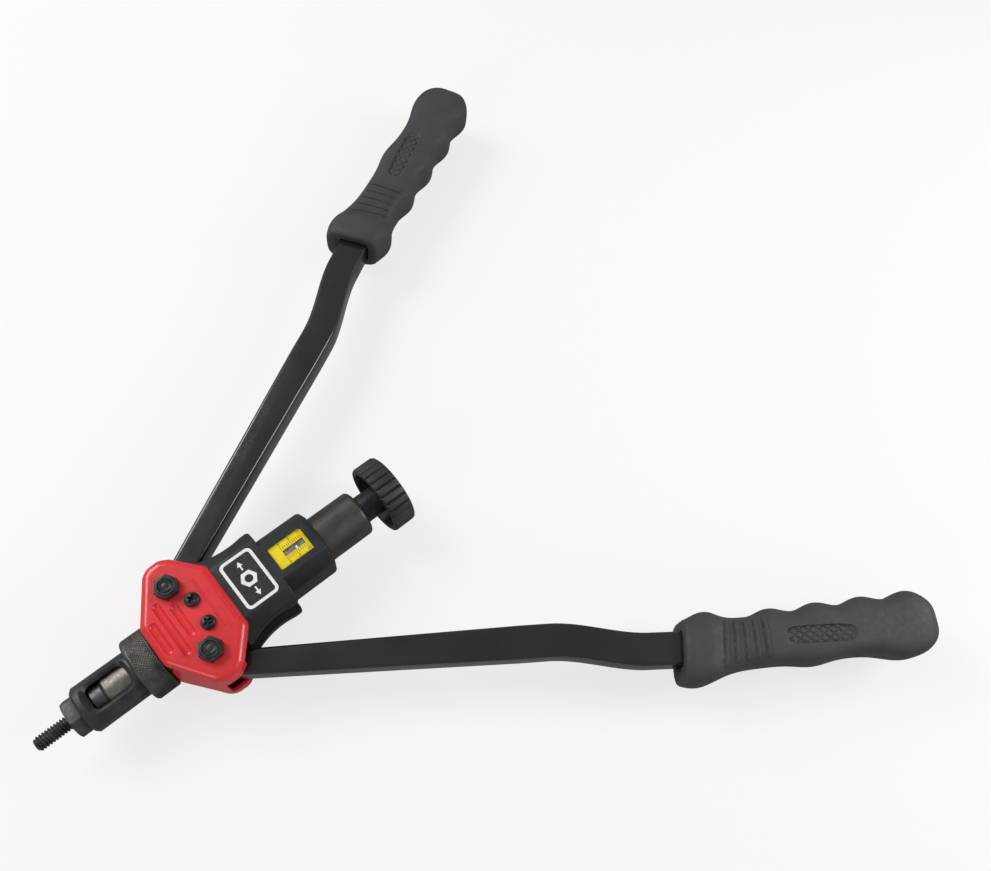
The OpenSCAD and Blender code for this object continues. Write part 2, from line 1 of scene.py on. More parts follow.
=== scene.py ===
import math
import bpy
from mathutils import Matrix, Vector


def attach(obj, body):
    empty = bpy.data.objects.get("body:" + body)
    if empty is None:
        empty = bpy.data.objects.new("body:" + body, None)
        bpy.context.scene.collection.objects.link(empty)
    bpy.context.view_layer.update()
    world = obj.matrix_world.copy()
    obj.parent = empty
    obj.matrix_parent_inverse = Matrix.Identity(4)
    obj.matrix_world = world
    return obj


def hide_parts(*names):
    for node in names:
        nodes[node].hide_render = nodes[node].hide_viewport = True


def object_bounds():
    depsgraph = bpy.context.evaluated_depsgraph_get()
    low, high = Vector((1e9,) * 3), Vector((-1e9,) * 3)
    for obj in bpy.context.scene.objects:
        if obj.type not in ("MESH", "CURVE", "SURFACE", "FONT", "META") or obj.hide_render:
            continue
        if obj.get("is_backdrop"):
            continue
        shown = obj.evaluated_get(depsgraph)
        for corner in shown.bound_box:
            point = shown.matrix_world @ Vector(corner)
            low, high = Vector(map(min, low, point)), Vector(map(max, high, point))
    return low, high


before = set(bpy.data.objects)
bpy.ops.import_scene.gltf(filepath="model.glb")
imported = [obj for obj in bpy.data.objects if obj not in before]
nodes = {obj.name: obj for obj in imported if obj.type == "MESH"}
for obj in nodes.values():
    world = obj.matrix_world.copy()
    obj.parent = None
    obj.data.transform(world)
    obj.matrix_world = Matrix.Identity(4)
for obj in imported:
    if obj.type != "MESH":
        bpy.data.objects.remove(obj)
from types import SimpleNamespace

import bpy
from mathutils import Matrix, Vector

cad_low, cad_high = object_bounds()

# Mandrel. A hardened steel stud with a rolled 1/4 inch thread, 20 turns to the inch, and a
# collar behind it. It hangs in the chuck by its hex tail, and the rivet nut screws on to it.


def mm(*lengths):
    return tuple(v * 0.001 for v in lengths)


def pick(piece):
    """Leaves this piece selected and active, and no other."""
    bpy.ops.object.select_all(action="DESELECT")
    piece.select_set(True)
    bpy.context.view_layer.objects.active = piece


def added(name):
    """The object that was just added, under its own name."""
    piece = bpy.context.object
    piece.name = name
    piece.data.name = name
    return piece


def edit_all():
    """Opens the active piece for editing, with all of it selected."""
    bpy.ops.object.mode_set(mode="EDIT")
    bpy.ops.mesh.select_all(action="SELECT")


def start_line(name, points):
    """A line of edges through (x, y, z) points in millimetres, drawn vertex by vertex."""
    bpy.ops.object.select_all(action="DESELECT")
    bpy.ops.mesh.primitive_plane_add(size=0.001)
    piece = added(name)
    bpy.ops.object.mode_set(mode="EDIT")
    bpy.ops.mesh.select_mode(type="VERT")
    bpy.ops.mesh.select_all(action="SELECT")
    bpy.ops.mesh.merge(type="CENTER")
    bpy.ops.transform.translate(value=mm(*points[0]))
    for a, b in zip(points, points[1:]):
        step = mm(*[q - p for p, q in zip(a, b)])
        bpy.ops.mesh.extrude_region_move(TRANSFORM_OT_translate={"value": step})
    bpy.ops.object.mode_set(mode="OBJECT")
    return piece


def clean_skin(piece, merge=1e-6):
    """Merges doubled vertices and points every face outward."""
    pick(piece)
    edit_all()
    bpy.ops.mesh.remove_doubles(threshold=merge)
    bpy.ops.mesh.normals_make_consistent(inside=False)
    bpy.ops.object.mode_set(mode="OBJECT")


def smooth(piece, angle=32):
    pick(piece)
    bpy.ops.object.shade_smooth_by_angle(angle=math.radians(angle))


def turned(name, profile, steps=72):
    """A piece turned about the tool axis from (x, radius) points in millimetres."""
    piece = start_line(name, [(x, 0, r) for x, r in profile])
    edit_all()
    bpy.ops.mesh.spin(steps=steps, angle=2 * math.pi, center=(0, 0, 0), axis=(1, 0, 0))
    bpy.ops.object.mode_set(mode="OBJECT")
    clean_skin(piece)
    return piece


def apply_modifier(piece, kind, **values):
    modifier = piece.modifiers.new(kind.lower(), kind)
    for key, value in values.items():
        setattr(modifier, key, value)
    pick(piece)
    bpy.ops.object.modifier_apply(modifier=modifier.name)


def join(piece, *others):
    pick(piece)
    for other in others:
        other.select_set(True)
    bpy.ops.object.join()
    return piece


def keep_side(piece, x, side):
    """Saws the piece across the axis at x millimetres and closes the cut."""
    pick(piece)
    edit_all()
    bpy.ops.mesh.bisect(plane_co=mm(x, 0, 0), plane_no=(side, 0, 0), use_fill=True,
        clear_outer=True, threshold=1e-7)
    bpy.ops.object.mode_set(mode="OBJECT")


def finish_of(name, colour, metallic, roughness):
    """A procedural finish, and its look: node tree, shader and Object coordinates."""
    material = bpy.data.materials.new(name)
    material.use_nodes = True
    tree = material.node_tree
    shader = tree.nodes["Principled BSDF"]
    shader.inputs["Base Color"].default_value = (*colour, 1)
    shader.inputs["Metallic"].default_value = metallic
    shader.inputs["Roughness"].default_value = roughness
    place = tree.nodes.new("ShaderNodeTexCoord").outputs["Object"]
    return material, SimpleNamespace(tree=tree, shader=shader, place=place)


def noise(look, scale, detail=4.0, stretch=None):
    """Noise of about 1 / scale metres, pulled out along an axis where stretch says so."""
    tree, place = look.tree, look.place
    texture = tree.nodes.new("ShaderNodeTexNoise")
    texture.inputs["Scale"].default_value = scale
    texture.inputs["Detail"].default_value = detail
    if stretch:
        mapping = tree.nodes.new("ShaderNodeMapping")
        mapping.inputs["Scale"].default_value = stretch
        tree.links.new(place, mapping.inputs["Vector"])
        place = mapping.outputs["Vector"]
    tree.links.new(place, texture.inputs["Vector"])
    return texture.outputs["Fac"]


def two_tone(look, fac, dark, light, low=0.35, high=0.65):
    ramp = look.tree.nodes.new("ShaderNodeValToRGB")
    ramp.color_ramp.elements[0].position = low
    ramp.color_ramp.elements[0].color = (*dark, 1)
    ramp.color_ramp.elements[1].position = high
    ramp.color_ramp.elements[1].color = (*light, 1)
    look.tree.links.new(fac, ramp.inputs["Fac"])
    look.tree.links.new(ramp.outputs["Color"], look.shader.inputs["Base Color"])


def rough_between(look, fac, low, high):
    spread = look.tree.nodes.new("ShaderNodeMapRange")
    spread.inputs["From Min"].default_value = 0.3
    spread.inputs["From Max"].default_value = 0.7
    spread.inputs["To Min"].default_value = low
    spread.inputs["To Max"].default_value = high
    look.tree.links.new(fac, spread.inputs["Value"])
    look.tree.links.new(spread.outputs["Result"], look.shader.inputs["Roughness"])


def bump_from(look, fac, depth_mm):
    bump = look.tree.nodes.new("ShaderNodeBump")
    bump.inputs["Strength"].default_value = 1.0
    bump.inputs["Distance"].default_value = depth_mm * 0.001
    look.tree.links.new(fac, bump.inputs["Height"])
    look.tree.links.new(bump.outputs["Normal"], look.shader.inputs["Normal"])


def wear(piece, material):
    piece.data.materials.clear()
    piece.data.materials.append(material)


thread_pitch = 1.27
thread_top = 3.175
thread_root = 2.42
thread_start = -1.2
thread_shape = [(0, thread_root), (0.14, thread_root), (0.56, thread_top), (0.72, thread_top),
    (thread_pitch, thread_root)]
first_turn = -4
mandrel_tip = 15.0
mandrel_shank = 2.8
collar_radius = 6.45
collar_front, collar_back = -10.8, -16.2
mandrel = start_line("mandrel_threaded", [(first_turn + x, 0, r) for x, r in thread_shape])
apply_modifier(mandrel, "SCREW", axis="X", angle=2 * math.pi, screw_offset=thread_pitch * 0.001,
    iterations=17, steps=36, render_steps=36, use_merge_vertices=True, merge_threshold=1e-6)
keep_side(mandrel, mandrel_tip, 1)
keep_side(mandrel, thread_start, -1)
for vertex in mandrel.data.vertices:
    radius = math.hypot(vertex.co.y, vertex.co.z)
    lead = thread_root - 0.1 + (mandrel_tip - vertex.co.x * 1000) * 0.85
    if radius * 1000 > lead:
        vertex.co.y *= lead * 0.001 / radius
        vertex.co.z *= lead * 0.001 / radius
clean_skin(mandrel)
mandrel_back = turned("mandrel_back", [(thread_start + 0.1, 0), (thread_start + 0.1, mandrel_shank),
    (collar_front, mandrel_shank), (collar_front, 6.0), (collar_front - 0.3, collar_radius),
    (collar_back + 0.4, collar_radius), (collar_back, 6.1), (collar_back, 0)], 48)
join(mandrel, mandrel_back)
smooth(mandrel, 40)

mandrel_steel, look = finish_of("mandrel_black_steel", (0.07, 0.07, 0.072), 0.6, 0.45)
two_tone(look, noise(look, 420), (0.05, 0.05, 0.053), (0.105, 0.103, 0.1))
rough_between(look, noise(look, 900), 0.34, 0.55)
bump_from(look, noise(look, 2600), 0.02)
wear(mandrel, mandrel_steel)
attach(mandrel, "spindle")
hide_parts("mandrel")

# Hex anvil. A phosphated steel nosepiece that the rivet nut's head is pulled against. Its hex
# is for a spanner, the corners are turned off in front, and a spigot screws into the sleeve.


def boolean(piece, tool, operation="DIFFERENCE"):
    apply_modifier(piece, "BOOLEAN", operation=operation, object=tool, solver="EXACT")
    bpy.data.objects.remove(tool)


def soften(piece, width_mm, segments=2, angle=35):
    """Breaks the sharp edges, as tumbling, casting or moulding does."""
    clean_skin(piece, 2e-5)
    edit_all()
    bpy.ops.mesh.dissolve_limited(angle_limit=math.radians(0.6))
    bpy.ops.object.mode_set(mode="OBJECT")
    apply_modifier(piece, "BEVEL", width=width_mm * 0.001, segments=segments, limit_method="ANGLE",
        angle_limit=math.radians(angle), use_clamp_overlap=True)
    clean_skin(piece, 2e-6)


def prism(name, sides, across_flats, centre, axis, height, turn=0):
    """A prism with that many sides, lying along X or standing along Z, in millimetres."""
    bpy.ops.object.select_all(action="DESELECT")
    bpy.ops.mesh.primitive_cylinder_add(vertices=sides, depth=height * 0.001,
        radius=across_flats * 0.0005 / math.cos(math.pi / sides))
    piece = added(name)
    lie = Matrix.Rotation(math.pi / 2, 4, "Y") if axis == "X" else Matrix.Identity(4)
    spin = Matrix.Rotation(math.radians(turn), 4, "Z")
    piece.data.transform(Matrix.Translation(mm(*centre)) @ lie @ spin)
    return piece


anvil_turn = 6
anvil_flats = 15.6
anvil_corner = anvil_flats / math.sqrt(3)
anvil_length = 5.2
anvil_bore = 6.95
spigot_radius = 7.35
spigot_front, spigot_end = -5.1, -10.2
anvil = prism("anvil_hex", 6, anvil_flats, (-anvil_length / 2, 0, 0), "X", anvil_length, anvil_turn)
anvil_blank = turned("anvil_blank", [(0, 0), (0, anvil_corner - 1.1), (-0.7, anvil_corner + 0.1),
    (-anvil_length, anvil_corner + 0.1), (-anvil_length, 0)], 96)
boolean(anvil, anvil_blank, "INTERSECT")
boolean(anvil, prism("anvil_bore", 48, anvil_bore, (-anvil_length / 2, 0, 0), "X", 8))
soften(anvil, 0.3, 3, 25)
anvil_spigot = turned("anvil_spigot", [(spigot_front, anvil_bore / 2), (spigot_front, spigot_radius),
    (spigot_end + 0.4, spigot_radius), (spigot_end, 7.0), (spigot_end, anvil_bore / 2),
    (spigot_front, anvil_bore / 2)], 48)
join(anvil, anvil_spigot)
smooth(anvil)

nose_steel, look = finish_of("anvil_phosphate", (0.075, 0.072, 0.068), 0.5, 0.48)
two_tone(look, noise(look, 260, 6), (0.05, 0.049, 0.048), (0.098, 0.094, 0.088))
rough_between(look, noise(look, 700), 0.42, 0.6)
bump_from(look, noise(look, 3200), 0.025)
wear(anvil, nose_steel)
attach(anvil, "casting")
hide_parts("hex_anvil")

# Nose sleeve. A turned steel sleeve, phosphated almost black, screwed into the casting. A
# window milled in its front, with a broad chamfer, lets the chuck be held while setting up.


def turning_marks(look, scale, distortion):
    """Fine rings round the tool axis, as a lathe leaves them."""
    rings = look.tree.nodes.new("ShaderNodeTexWave")
    rings.bands_direction = "X"
    rings.inputs["Scale"].default_value = scale
    rings.inputs["Distortion"].default_value = distortion
    look.tree.links.new(look.place, rings.inputs["Vector"])
    return rings.outputs["Fac"]


sleeve_radius = 10.7
sleeve_thread = 9.8
sleeve_bore = 7.9
sleeve_front = -anvil_length
sleeve_shoulder = -30.5
sleeve_end = -51.3
spigot_seat = 7.4
window_middle = -18.6
window_length = 16.6
window_width = 10.8
window_corner = 2.8
window_depth = 7.2
chamfer_rise = 4
sleeve = turned("sleeve_windowed", [(sleeve_front, spigot_seat), (sleeve_front, 9.6), (-6.4, sleeve_radius),
    (sleeve_shoulder, sleeve_radius), (sleeve_shoulder, sleeve_thread), (sleeve_end, sleeve_thread),
    (sleeve_end, sleeve_bore), (spigot_end, sleeve_bore), (spigot_end, spigot_seat),
    (sleeve_front, spigot_seat)], 128)
bpy.ops.object.select_all(action="DESELECT")
bpy.ops.mesh.primitive_cube_add(size=0.001)
mill = bpy.context.object
mill.data.transform(Matrix.Translation(mm(window_middle, 0, window_depth / 2))
    @ Matrix.Diagonal((window_length, window_width, window_depth, 1)))
bpy.ops.object.mode_set(mode="EDIT")
bpy.ops.mesh.select_mode(type="EDGE")
bpy.ops.mesh.select_all(action="DESELECT")
bpy.ops.object.mode_set(mode="OBJECT")
for edge in mill.data.edges:
    a, b = [mill.data.vertices[i].co for i in edge.vertices]
    edge.select = abs(a.z - b.z) > 0.001
bpy.ops.object.mode_set(mode="EDIT")
bpy.ops.mesh.bevel(offset=window_corner * 0.001, segments=8, affect="EDGES")
bpy.ops.mesh.select_mode(type="FACE")
bpy.ops.mesh.select_all(action="DESELECT")
bpy.ops.object.mode_set(mode="OBJECT")
for face in mill.data.polygons:
    face.select = face.normal.z > 0.9
bpy.ops.object.mode_set(mode="EDIT")
bpy.ops.mesh.extrude_region_move(TRANSFORM_OT_translate={"value": mm(0, 0, chamfer_rise)})
bpy.ops.transform.resize(value=(1.29, 1.96, 1), center_override=mm(window_middle, 0, window_depth))
bpy.ops.object.mode_set(mode="OBJECT")
clean_skin(mill)
boolean(sleeve, mill)
soften(sleeve, 0.18, 2, 30)
smooth(sleeve, 30)

sleeve_steel, look = finish_of("sleeve_phosphate", (0.05, 0.05, 0.053), 0.5, 0.46)
two_tone(look, noise(look, 180, 6), (0.036, 0.037, 0.04), (0.07, 0.069, 0.07))
rough_between(look, noise(look, 600), 0.38, 0.56)
bump_from(look, turning_marks(look, 520, 0.5), 0.012)
wear(sleeve, sleeve_steel)
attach(sleeve, "casting")
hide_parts("nose_sleeve")

# Lock ring. A knurled steel ring on the sleeve's thread, screwed up against the casting so
# that the sleeve stays where it is set. The knurl is a fine diamond, rolled before plating.


def rounded_edge(x, radius, edge, way, turns):
    """Profile points round the outer edge of a turned piece."""
    return [(x + way * edge * (1 - math.sin(a)), radius - edge * (1 - math.cos(a)))
        for a in map(math.radians, turns)]


ring_front = -29.9
ring_back = -40.5
ring_radius = 14.5
ring_bore = 9.85
ring_mouth = 11.0
ring_edge = 1.8
knurl_pitch = 1.3
knurl_depth = 0.4
rounded = rounded_edge(ring_front, ring_radius, ring_edge, -1, range(90, 0, -15))
band = [(ring_front - ring_edge - i * 0.24, ring_radius) for i in range(35)]
ring = turned("lock_ring_knurled", [(ring_back, ring_bore), (ring_front - 0.9, ring_bore),
    (ring_front - 0.9, ring_mouth), (ring_front, ring_mouth)] + rounded + band
    + [(ring_back + 0.5, ring_radius), (ring_back, ring_radius - 0.5), (ring_back, ring_bore)], 384)
knurl_turns = round(2 * math.pi * ring_radius / knurl_pitch)
for vertex in ring.data.vertices:
    x, y, z = [v * 1000 for v in vertex.co]
    radius = math.hypot(y, z)
    inside = min(1, max(0, (ring_front - 1.4 - x) / 0.5)) * min(1, max(0, (x - ring_back - 0.6) / 0.5))
    if radius > ring_radius - 0.4 and inside > 0:
        turn = math.atan2(y, z) / (2 * math.pi) * knurl_turns
        rows = x / knurl_pitch
        left = abs((turn + rows) % 1 - 0.5) * 2
        right = abs((turn - rows) % 1 - 0.5) * 2
        sink = knurl_depth * inside * (1 - min(1, 1.6 * min(left, right)))
        vertex.co.y *= (radius - sink) / radius
        vertex.co.z *= (radius - sink) / radius
smooth(ring, 50)

ring_steel, look = finish_of("ring_phosphate", (0.09, 0.083, 0.072), 0.6, 0.45)
two_tone(look, noise(look, 150, 6), (0.058, 0.054, 0.047), (0.125, 0.115, 0.1))
rough_between(look, noise(look, 500), 0.36, 0.55)
bump_from(look, noise(look, 2400), 0.015)
wear(ring, ring_steel)
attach(ring, "lock_ring")
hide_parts("lock_ring")

# Red covers. Two deep pressings in gloss red enamel that close round the lever pivots, one in
# front and one behind. The pivot bolts and two screws hold each, and both ride on the draw gear.

pivot_x = -58.4
pivot_y = 16.2
cover_face = 17.5
cover_front = -40.5
cover_roll = 3.6
cover_corner = 6.0
cover_wall = 1.5
cover_rim = 0.15
cover_end = pivot_x - 20
cover_side = 31
bolt_bore = 6.1
screw_bore = 3.6
screw_x = pivot_x - 5.1
screw_y = 6
cover_half_outline = [(cover_front, 13.6), (pivot_x + 7, 28), (pivot_x + 3.6, 30), (pivot_x - 3.2, 30),
    (pivot_x - 7.2, 27.6), (pivot_x - 17, 16), (pivot_x - 17.6, 14.2)]
cover_half_face = [(cover_front, 9.2), (pivot_x + 6, 27.3), (pivot_x + 3, 29.6)] + cover_half_outline[3:]
cover_outline = cover_half_outline + [(x, -y) for x, y in reversed(cover_half_outline)]
cover_face_outline = cover_half_face + [(x, -y) for x, y in reversed(cover_half_face)]


def copy_of(piece, name):
    """A copy of the piece with a mesh of its own."""
    pick(piece)
    bpy.ops.object.duplicate()
    return added(name)


def copy_behind(piece, name):
    """A copy of the piece, mirrored to the back of the tool."""
    behind = copy_of(piece, name)
    behind.data.transform(Matrix.Diagonal((1, 1, -1, 1)))
    clean_skin(behind, 1e-7)
    return behind


def inset_outline(outline, inset):
    """The outline drawn in by an equal distance all round."""
    drawn = []
    for i, point in enumerate(outline):
        before, after = Vector(outline[i - 1]), Vector(outline[(i + 1) % len(outline)])
        here = Vector(point)
        a, b = (here - before).normalized(), (after - here).normalized()
        na, nb = Vector((-a.y, a.x)), Vector((-b.y, b.x))
        mitre = (na + nb).normalized()
        drawn.append(tuple(here + mitre * (inset / max(0.35, mitre.dot(na)))))
    return drawn


def round_corners(outline, radius, steps=5):
    """The outline with each corner drawn as a short arc."""
    drawn = []
    for i, point in enumerate(outline):
        here = Vector(point)
        back, on = Vector(outline[i - 1]) - here, Vector(outline[(i + 1) % len(outline)]) - here
        room = 0.48 * min(back.length, on.length)
        reach = min(radius * math.tan((math.pi - back.angle(on)) / 2), room)
        start, end = here + back.normalized() * reach, here + on.normalized() * reach
        for t in [k / steps for k in range(steps + 1)]:
            drawn.append(tuple(start * (1 - t) ** 2 + here * 2 * t * (1 - t) + end * t * t))
    return drawn


def slab(name, outline, low, high):
    """A flat-topped block with that outline seen from the front, in millimetres."""
    bpy.ops.object.select_all(action="DESELECT")
    bpy.ops.mesh.primitive_circle_add(vertices=len(outline), radius=0.01, fill_type="NGON")
    piece = added(name)
    for vertex, (x, y) in zip(piece.data.vertices, outline):
        vertex.co = mm(x, y, low)
    bpy.ops.object.mode_set(mode="EDIT")
    bpy.ops.mesh.select_mode(type="FACE")
    bpy.ops.mesh.select_all(action="SELECT")
    bpy.ops.mesh.extrude_region_move(TRANSFORM_OT_translate={"value": mm(0, 0, high - low)})
    bpy.ops.object.mode_set(mode="OBJECT")
    clean_skin(piece)
    return piece


def bevel_edges(piece, chosen, width_mm, segments, sharper_than=0):
    """Rounds the edges whose two ends pass the test and that fold by more than that angle."""
    folds = {}
    for face in piece.data.polygons:
        for key in face.edge_keys:
            folds.setdefault(key, []).append(face.normal.copy())
    pick(piece)
    bpy.ops.object.mode_set(mode="EDIT")
    bpy.ops.mesh.select_mode(type="EDGE")
    bpy.ops.mesh.select_all(action="DESELECT")
    bpy.ops.object.mode_set(mode="OBJECT")
    for edge in piece.data.edges:
        a, b = [piece.data.vertices[i].co * 1000 for i in edge.vertices]
        sides = folds[edge.key]
        fold = math.degrees(sides[0].angle(sides[-1], 0))
        edge.select = chosen(a, b) and fold >= sharper_than
    bpy.ops.object.mode_set(mode="EDIT")
    bpy.ops.mesh.bevel(offset=width_mm * 0.001, segments=segments, affect="EDGES", clamp_overlap=True)
    bpy.ops.object.mode_set(mode="OBJECT")


def pressing(name, inset, top):
    """The pressed form of a cover, or of the room in it, drawn in toward a rounded face."""
    roll = cover_roll - inset * 0.9
    steps = [(round_corners(inset_outline(cover_outline, inset), cover_corner - inset), cover_rim - inset)]
    for turn in [math.radians(a) for a in range(0, 91, 10)]:
        drawn = inset + roll * (1 - math.cos(turn))
        steps.append((round_corners(inset_outline(cover_face_outline, drawn), cover_corner - drawn),
            top - roll + roll * math.sin(turn)))
    around = len(steps[0][0])
    bpy.ops.object.select_all(action="DESELECT")
    bpy.ops.mesh.primitive_grid_add(x_subdivisions=around, y_subdivisions=len(steps) - 1, size=1)
    piece = added(name)
    for index, vertex in enumerate(piece.data.vertices):
        outline, z = steps[index // (around + 1)]
        vertex.co = mm(*outline[index % (around + 1) % around], z)
    clean_skin(piece)
    edit_all()
    bpy.ops.mesh.fill_holes(sides=0)
    bpy.ops.object.mode_set(mode="OBJECT")
    clean_skin(piece)
    return piece


def box(name, low, high):
    """A block between two corners in millimetres, used to mill a piece."""
    bpy.ops.object.select_all(action="DESELECT")
    bpy.ops.mesh.primitive_cube_add(size=1)
    piece = added(name)
    size = [b - a for a, b in zip(low, high)]
    middle = [(a + b) / 2 for a, b in zip(low, high)]
    piece.data.transform(Matrix.Translation(mm(*middle)) @ Matrix.Diagonal((*mm(*size), 1)))
    return piece


def trough(name, x, y0, y1, z, radius):
    """A round-ended bar across the tool, used to press a groove into a face."""
    half = (y1 - y0) / 2 - radius
    arc = [math.radians(a) for a in range(0, 91, 15)]
    piece = turned(name, [(half + radius * math.cos(a), radius * math.sin(a)) for a in arc]
        + [(-half - radius * math.cos(a), radius * math.sin(a)) for a in reversed(arc)], 32)
    piece.data.transform(Matrix.Translation(mm(x, (y0 + y1) / 2, z)) @ Matrix.Rotation(math.pi / 2, 4, "Z"))
    return piece


def bar(name, section, x0, x1):
    """A bar along the tool axis with a section of (y, z) points, in millimetres."""
    piece = slab(name, section, min(x0, x1), max(x0, x1))
    piece.data.transform(Matrix(((0, 0, 1, 0), (1, 0, 0, 0), (0, 1, 0, 0), (0, 0, 0, 1))))
    clean_skin(piece)
    return piece


def eight_sides(flat, side, side_z, top):
    corner = [(flat, top), (side, side_z), (side, -side_z), (flat, -top)]
    return corner + [(-y, z) for y, z in reversed(corner)]


cover = pressing("cover_front_red", 0, cover_face)
boolean(cover, pressing("cover_room", cover_wall, cover_face - cover_wall))
boolean(cover, box("nose_opening", (cover_front - 8, -12, -2), (cover_front + 2, 12, 14.6)))
boolean(cover, box("tail_opening", (cover_end, -cover_side, -2), (pivot_x - 7.6, cover_side, 13.5)))
boolean(cover, bar("neck_opening", eight_sides(13.3, 22.6, 9.1, 15.6), pivot_x - 11, cover_end))
for side in (-1, 1):
    near, far = sorted((side * 12.4, side * cover_side))
    boolean(cover, box("lever_slot", (cover_end, near, -2), (pivot_x + 3.6, far, 8.2)))
    boolean(cover, prism("bolt_hole", 40, bolt_bore, (pivot_x, side * pivot_y, 15), "Z", 12))
    boolean(cover, prism("screw_hole", 32, screw_bore, (screw_x, side * screw_y, 15), "Z", 12))
groove_radius = 2.0
groove_rise = 0.85
for x, low, high in ((-45.4, -8.1, 8.1), (-50.7, -14.2, 12.8), (-56.2, -9.6, 7.2)):
    boolean(cover, trough("pressed_groove", x, low, high, cover_face + groove_rise, groove_radius))
clean_skin(cover, 1e-5)
bevel_edges(cover, lambda a, b: min(a.z, b.z) > cover_face - 0.02, 0.5, 4, 20)
clean_skin(cover, 2e-6)
for x, low, high in ((-68.2, -14, 11.5), (-73.4, -2, 12.6)):
    boolean(cover, trough("raised_line", x, low, high, cover_face - 0.3, 0.6), "UNION")
clean_skin(cover, 2e-6)

red_enamel, look = finish_of("red_enamel", (0.70, 0.035, 0.045), 0.0, 0.3)
look.shader.inputs["Coat Weight"].default_value = 0.4
look.shader.inputs["Coat Roughness"].default_value = 0.12
two_tone(look, noise(look, 45, 5), (0.69, 0.02, 0.026), (0.78, 0.026, 0.032), 0.3, 0.7)
rough_between(look, noise(look, 320), 0.26, 0.4)
bump_from(look, noise(look, 500, 2), 0.015)
wear(cover, red_enamel)

back_cover = copy_behind(cover, "cover_rear_red")
for piece, node in ((cover, "front_cover"), (back_cover, "rear_cover")):
    smooth(piece, 40)
    apply_modifier(piece, "WEIGHTED_NORMAL", keep_sharp=True)
    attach(piece, "draw_carriage")
    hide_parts(node)

# Pivot bolts and nuts. Black oxide steel, two of each. The bolts pass through covers, yoke
# plates and lever eyes, with hex heads behind, and flanged lock nuts close them in front.


def upright(piece, z):
    """Stands a turned piece on its end, at that height."""
    piece.data.transform(Matrix.Translation(mm(0, 0, z)) @ Matrix.Rotation(-math.pi / 2, 4, "Y"))
    return piece


def set_at_pivots(piece, name):
    """Moves the piece from the tool axis to one pivot and a copy of it to the other."""
    other = copy_of(piece, "pivot_copy")
    for each, side in ((piece, -1), (other, 1)):
        each.data.transform(Matrix.Translation(mm(pivot_x, side * pivot_y, 0)))
    join(piece, other)
    piece.name = name
    return piece


nut_flats = 9.2
nut_height = 4.5
nut_corner = nut_flats / math.sqrt(3)
head_height = 4
bolt_radius = 3
nut = prism("nut_blank", 6, nut_flats, (0, 0, cover_face + nut_height / 2), "Z", nut_height, 30)
collar = turned("nut_turning", [(0, 0), (0, nut_corner + 0.1), (3.6, nut_corner + 0.1),
    (4.05, nut_corner - 0.45), (4.05, 4.1), (nut_height, 3.8), (nut_height, 0)], 64)
boolean(nut, upright(collar, cover_face), "INTERSECT")
boolean(nut, prism("nut_bore", 48, bolt_bore, (0, 0, cover_face + 2), "Z", 9))
soften(nut, 0.18, 2, 25)
bolt = turned("bolt_shank", [(0, 0), (0, bolt_radius), (37.6, bolt_radius), (39.2, bolt_radius), (39.6, 2.75),
    (39.9, 2.2), (39.6, 1.5), (39.75, 0.9), (39.85, 0)], 48)
upright(bolt, -cover_face)
head = prism("bolt_head", 6, nut_flats, (0, 0, -cover_face - head_height / 2), "Z", head_height, 30)
rounding = turned("head_turning", [(0, 0), (0, nut_corner - 0.7), (0.7, nut_corner + 0.1),
    (head_height, nut_corner + 0.1), (head_height, 0)], 64)
boolean(head, upright(rounding, -cover_face - head_height), "INTERSECT")
soften(head, 0.18, 2, 25)
join(bolt, head)
nuts = set_at_pivots(nut, "pivot_lock_nuts")
bolts = set_at_pivots(bolt, "pivot_bolt_pair")

black_oxide, look = finish_of("fastener_black_oxide", (0.026, 0.026, 0.028), 0.4, 0.4)
two_tone(look, noise(look, 300, 6), (0.016, 0.016, 0.018), (0.046, 0.045, 0.046))
rough_between(look, noise(look, 650), 0.3, 0.52)
bump_from(look, noise(look, 2800), 0.018)
for piece, node in ((nuts, "pivot_nuts"), (bolts, "pivot_bolts")):
    smooth(piece)
    wear(piece, black_oxide)
    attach(piece, "draw_carriage")
    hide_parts(node)

# Cover screws. Pan head screws with a cross recess, two in each cover, in black oxide steel.
# They go through the pressing into the posts of the yoke plates behind it.

screw_blank = turned("screw_blank", [(-6.3, 0), (-6.3, 1.7), (-0.1, 1.7), (0, 3.1), (1.1, 3.1), (1.5, 2.95),
    (1.85, 2.55), (2.1, 1.9), (2.25, 1.1), (2.3, 0)], 48)
cross_screws = [screw_blank, copy_of(screw_blank, "screw_copy")]
for screw, side, slot_turn in zip(cross_screws, (-1, 1), (35, 12)):
    for quarter in (0, 90):
        recess = box("cross_recess", (-0.55, -2.0, -0.2), (0.55, 2.0, 3.6))
        recess.data.transform(Matrix.Translation(mm(1.0, 0, 0)) @ Matrix.Rotation(math.pi / 2, 4, "Y")
            @ Matrix.Rotation(math.radians(slot_turn + quarter), 4, "Z"))
        boolean(screw, recess)
    upright(screw, cover_face)
    screw.data.transform(Matrix.Translation(mm(screw_x, side * screw_y, 0)))
front_screws = join(*cross_screws)
front_screws.name = "cover_screws_front"
soften(front_screws, 0.08, 2, 30)
smooth(front_screws)
wear(front_screws, black_oxide)
rear_screws = copy_behind(front_screws, "cover_screws_rear")
smooth(rear_screws)
for piece, node in ((front_screws, "front_cover_screws"), (rear_screws, "rear_cover_screws")):
    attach(piece, "draw_carriage")
    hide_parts(node)

# Body casting. One aluminium die casting in satin black enamel, with sloping shoulders, slots
# for the levers and an eight-sided tail block. The nose sleeve screws into the boss in front.

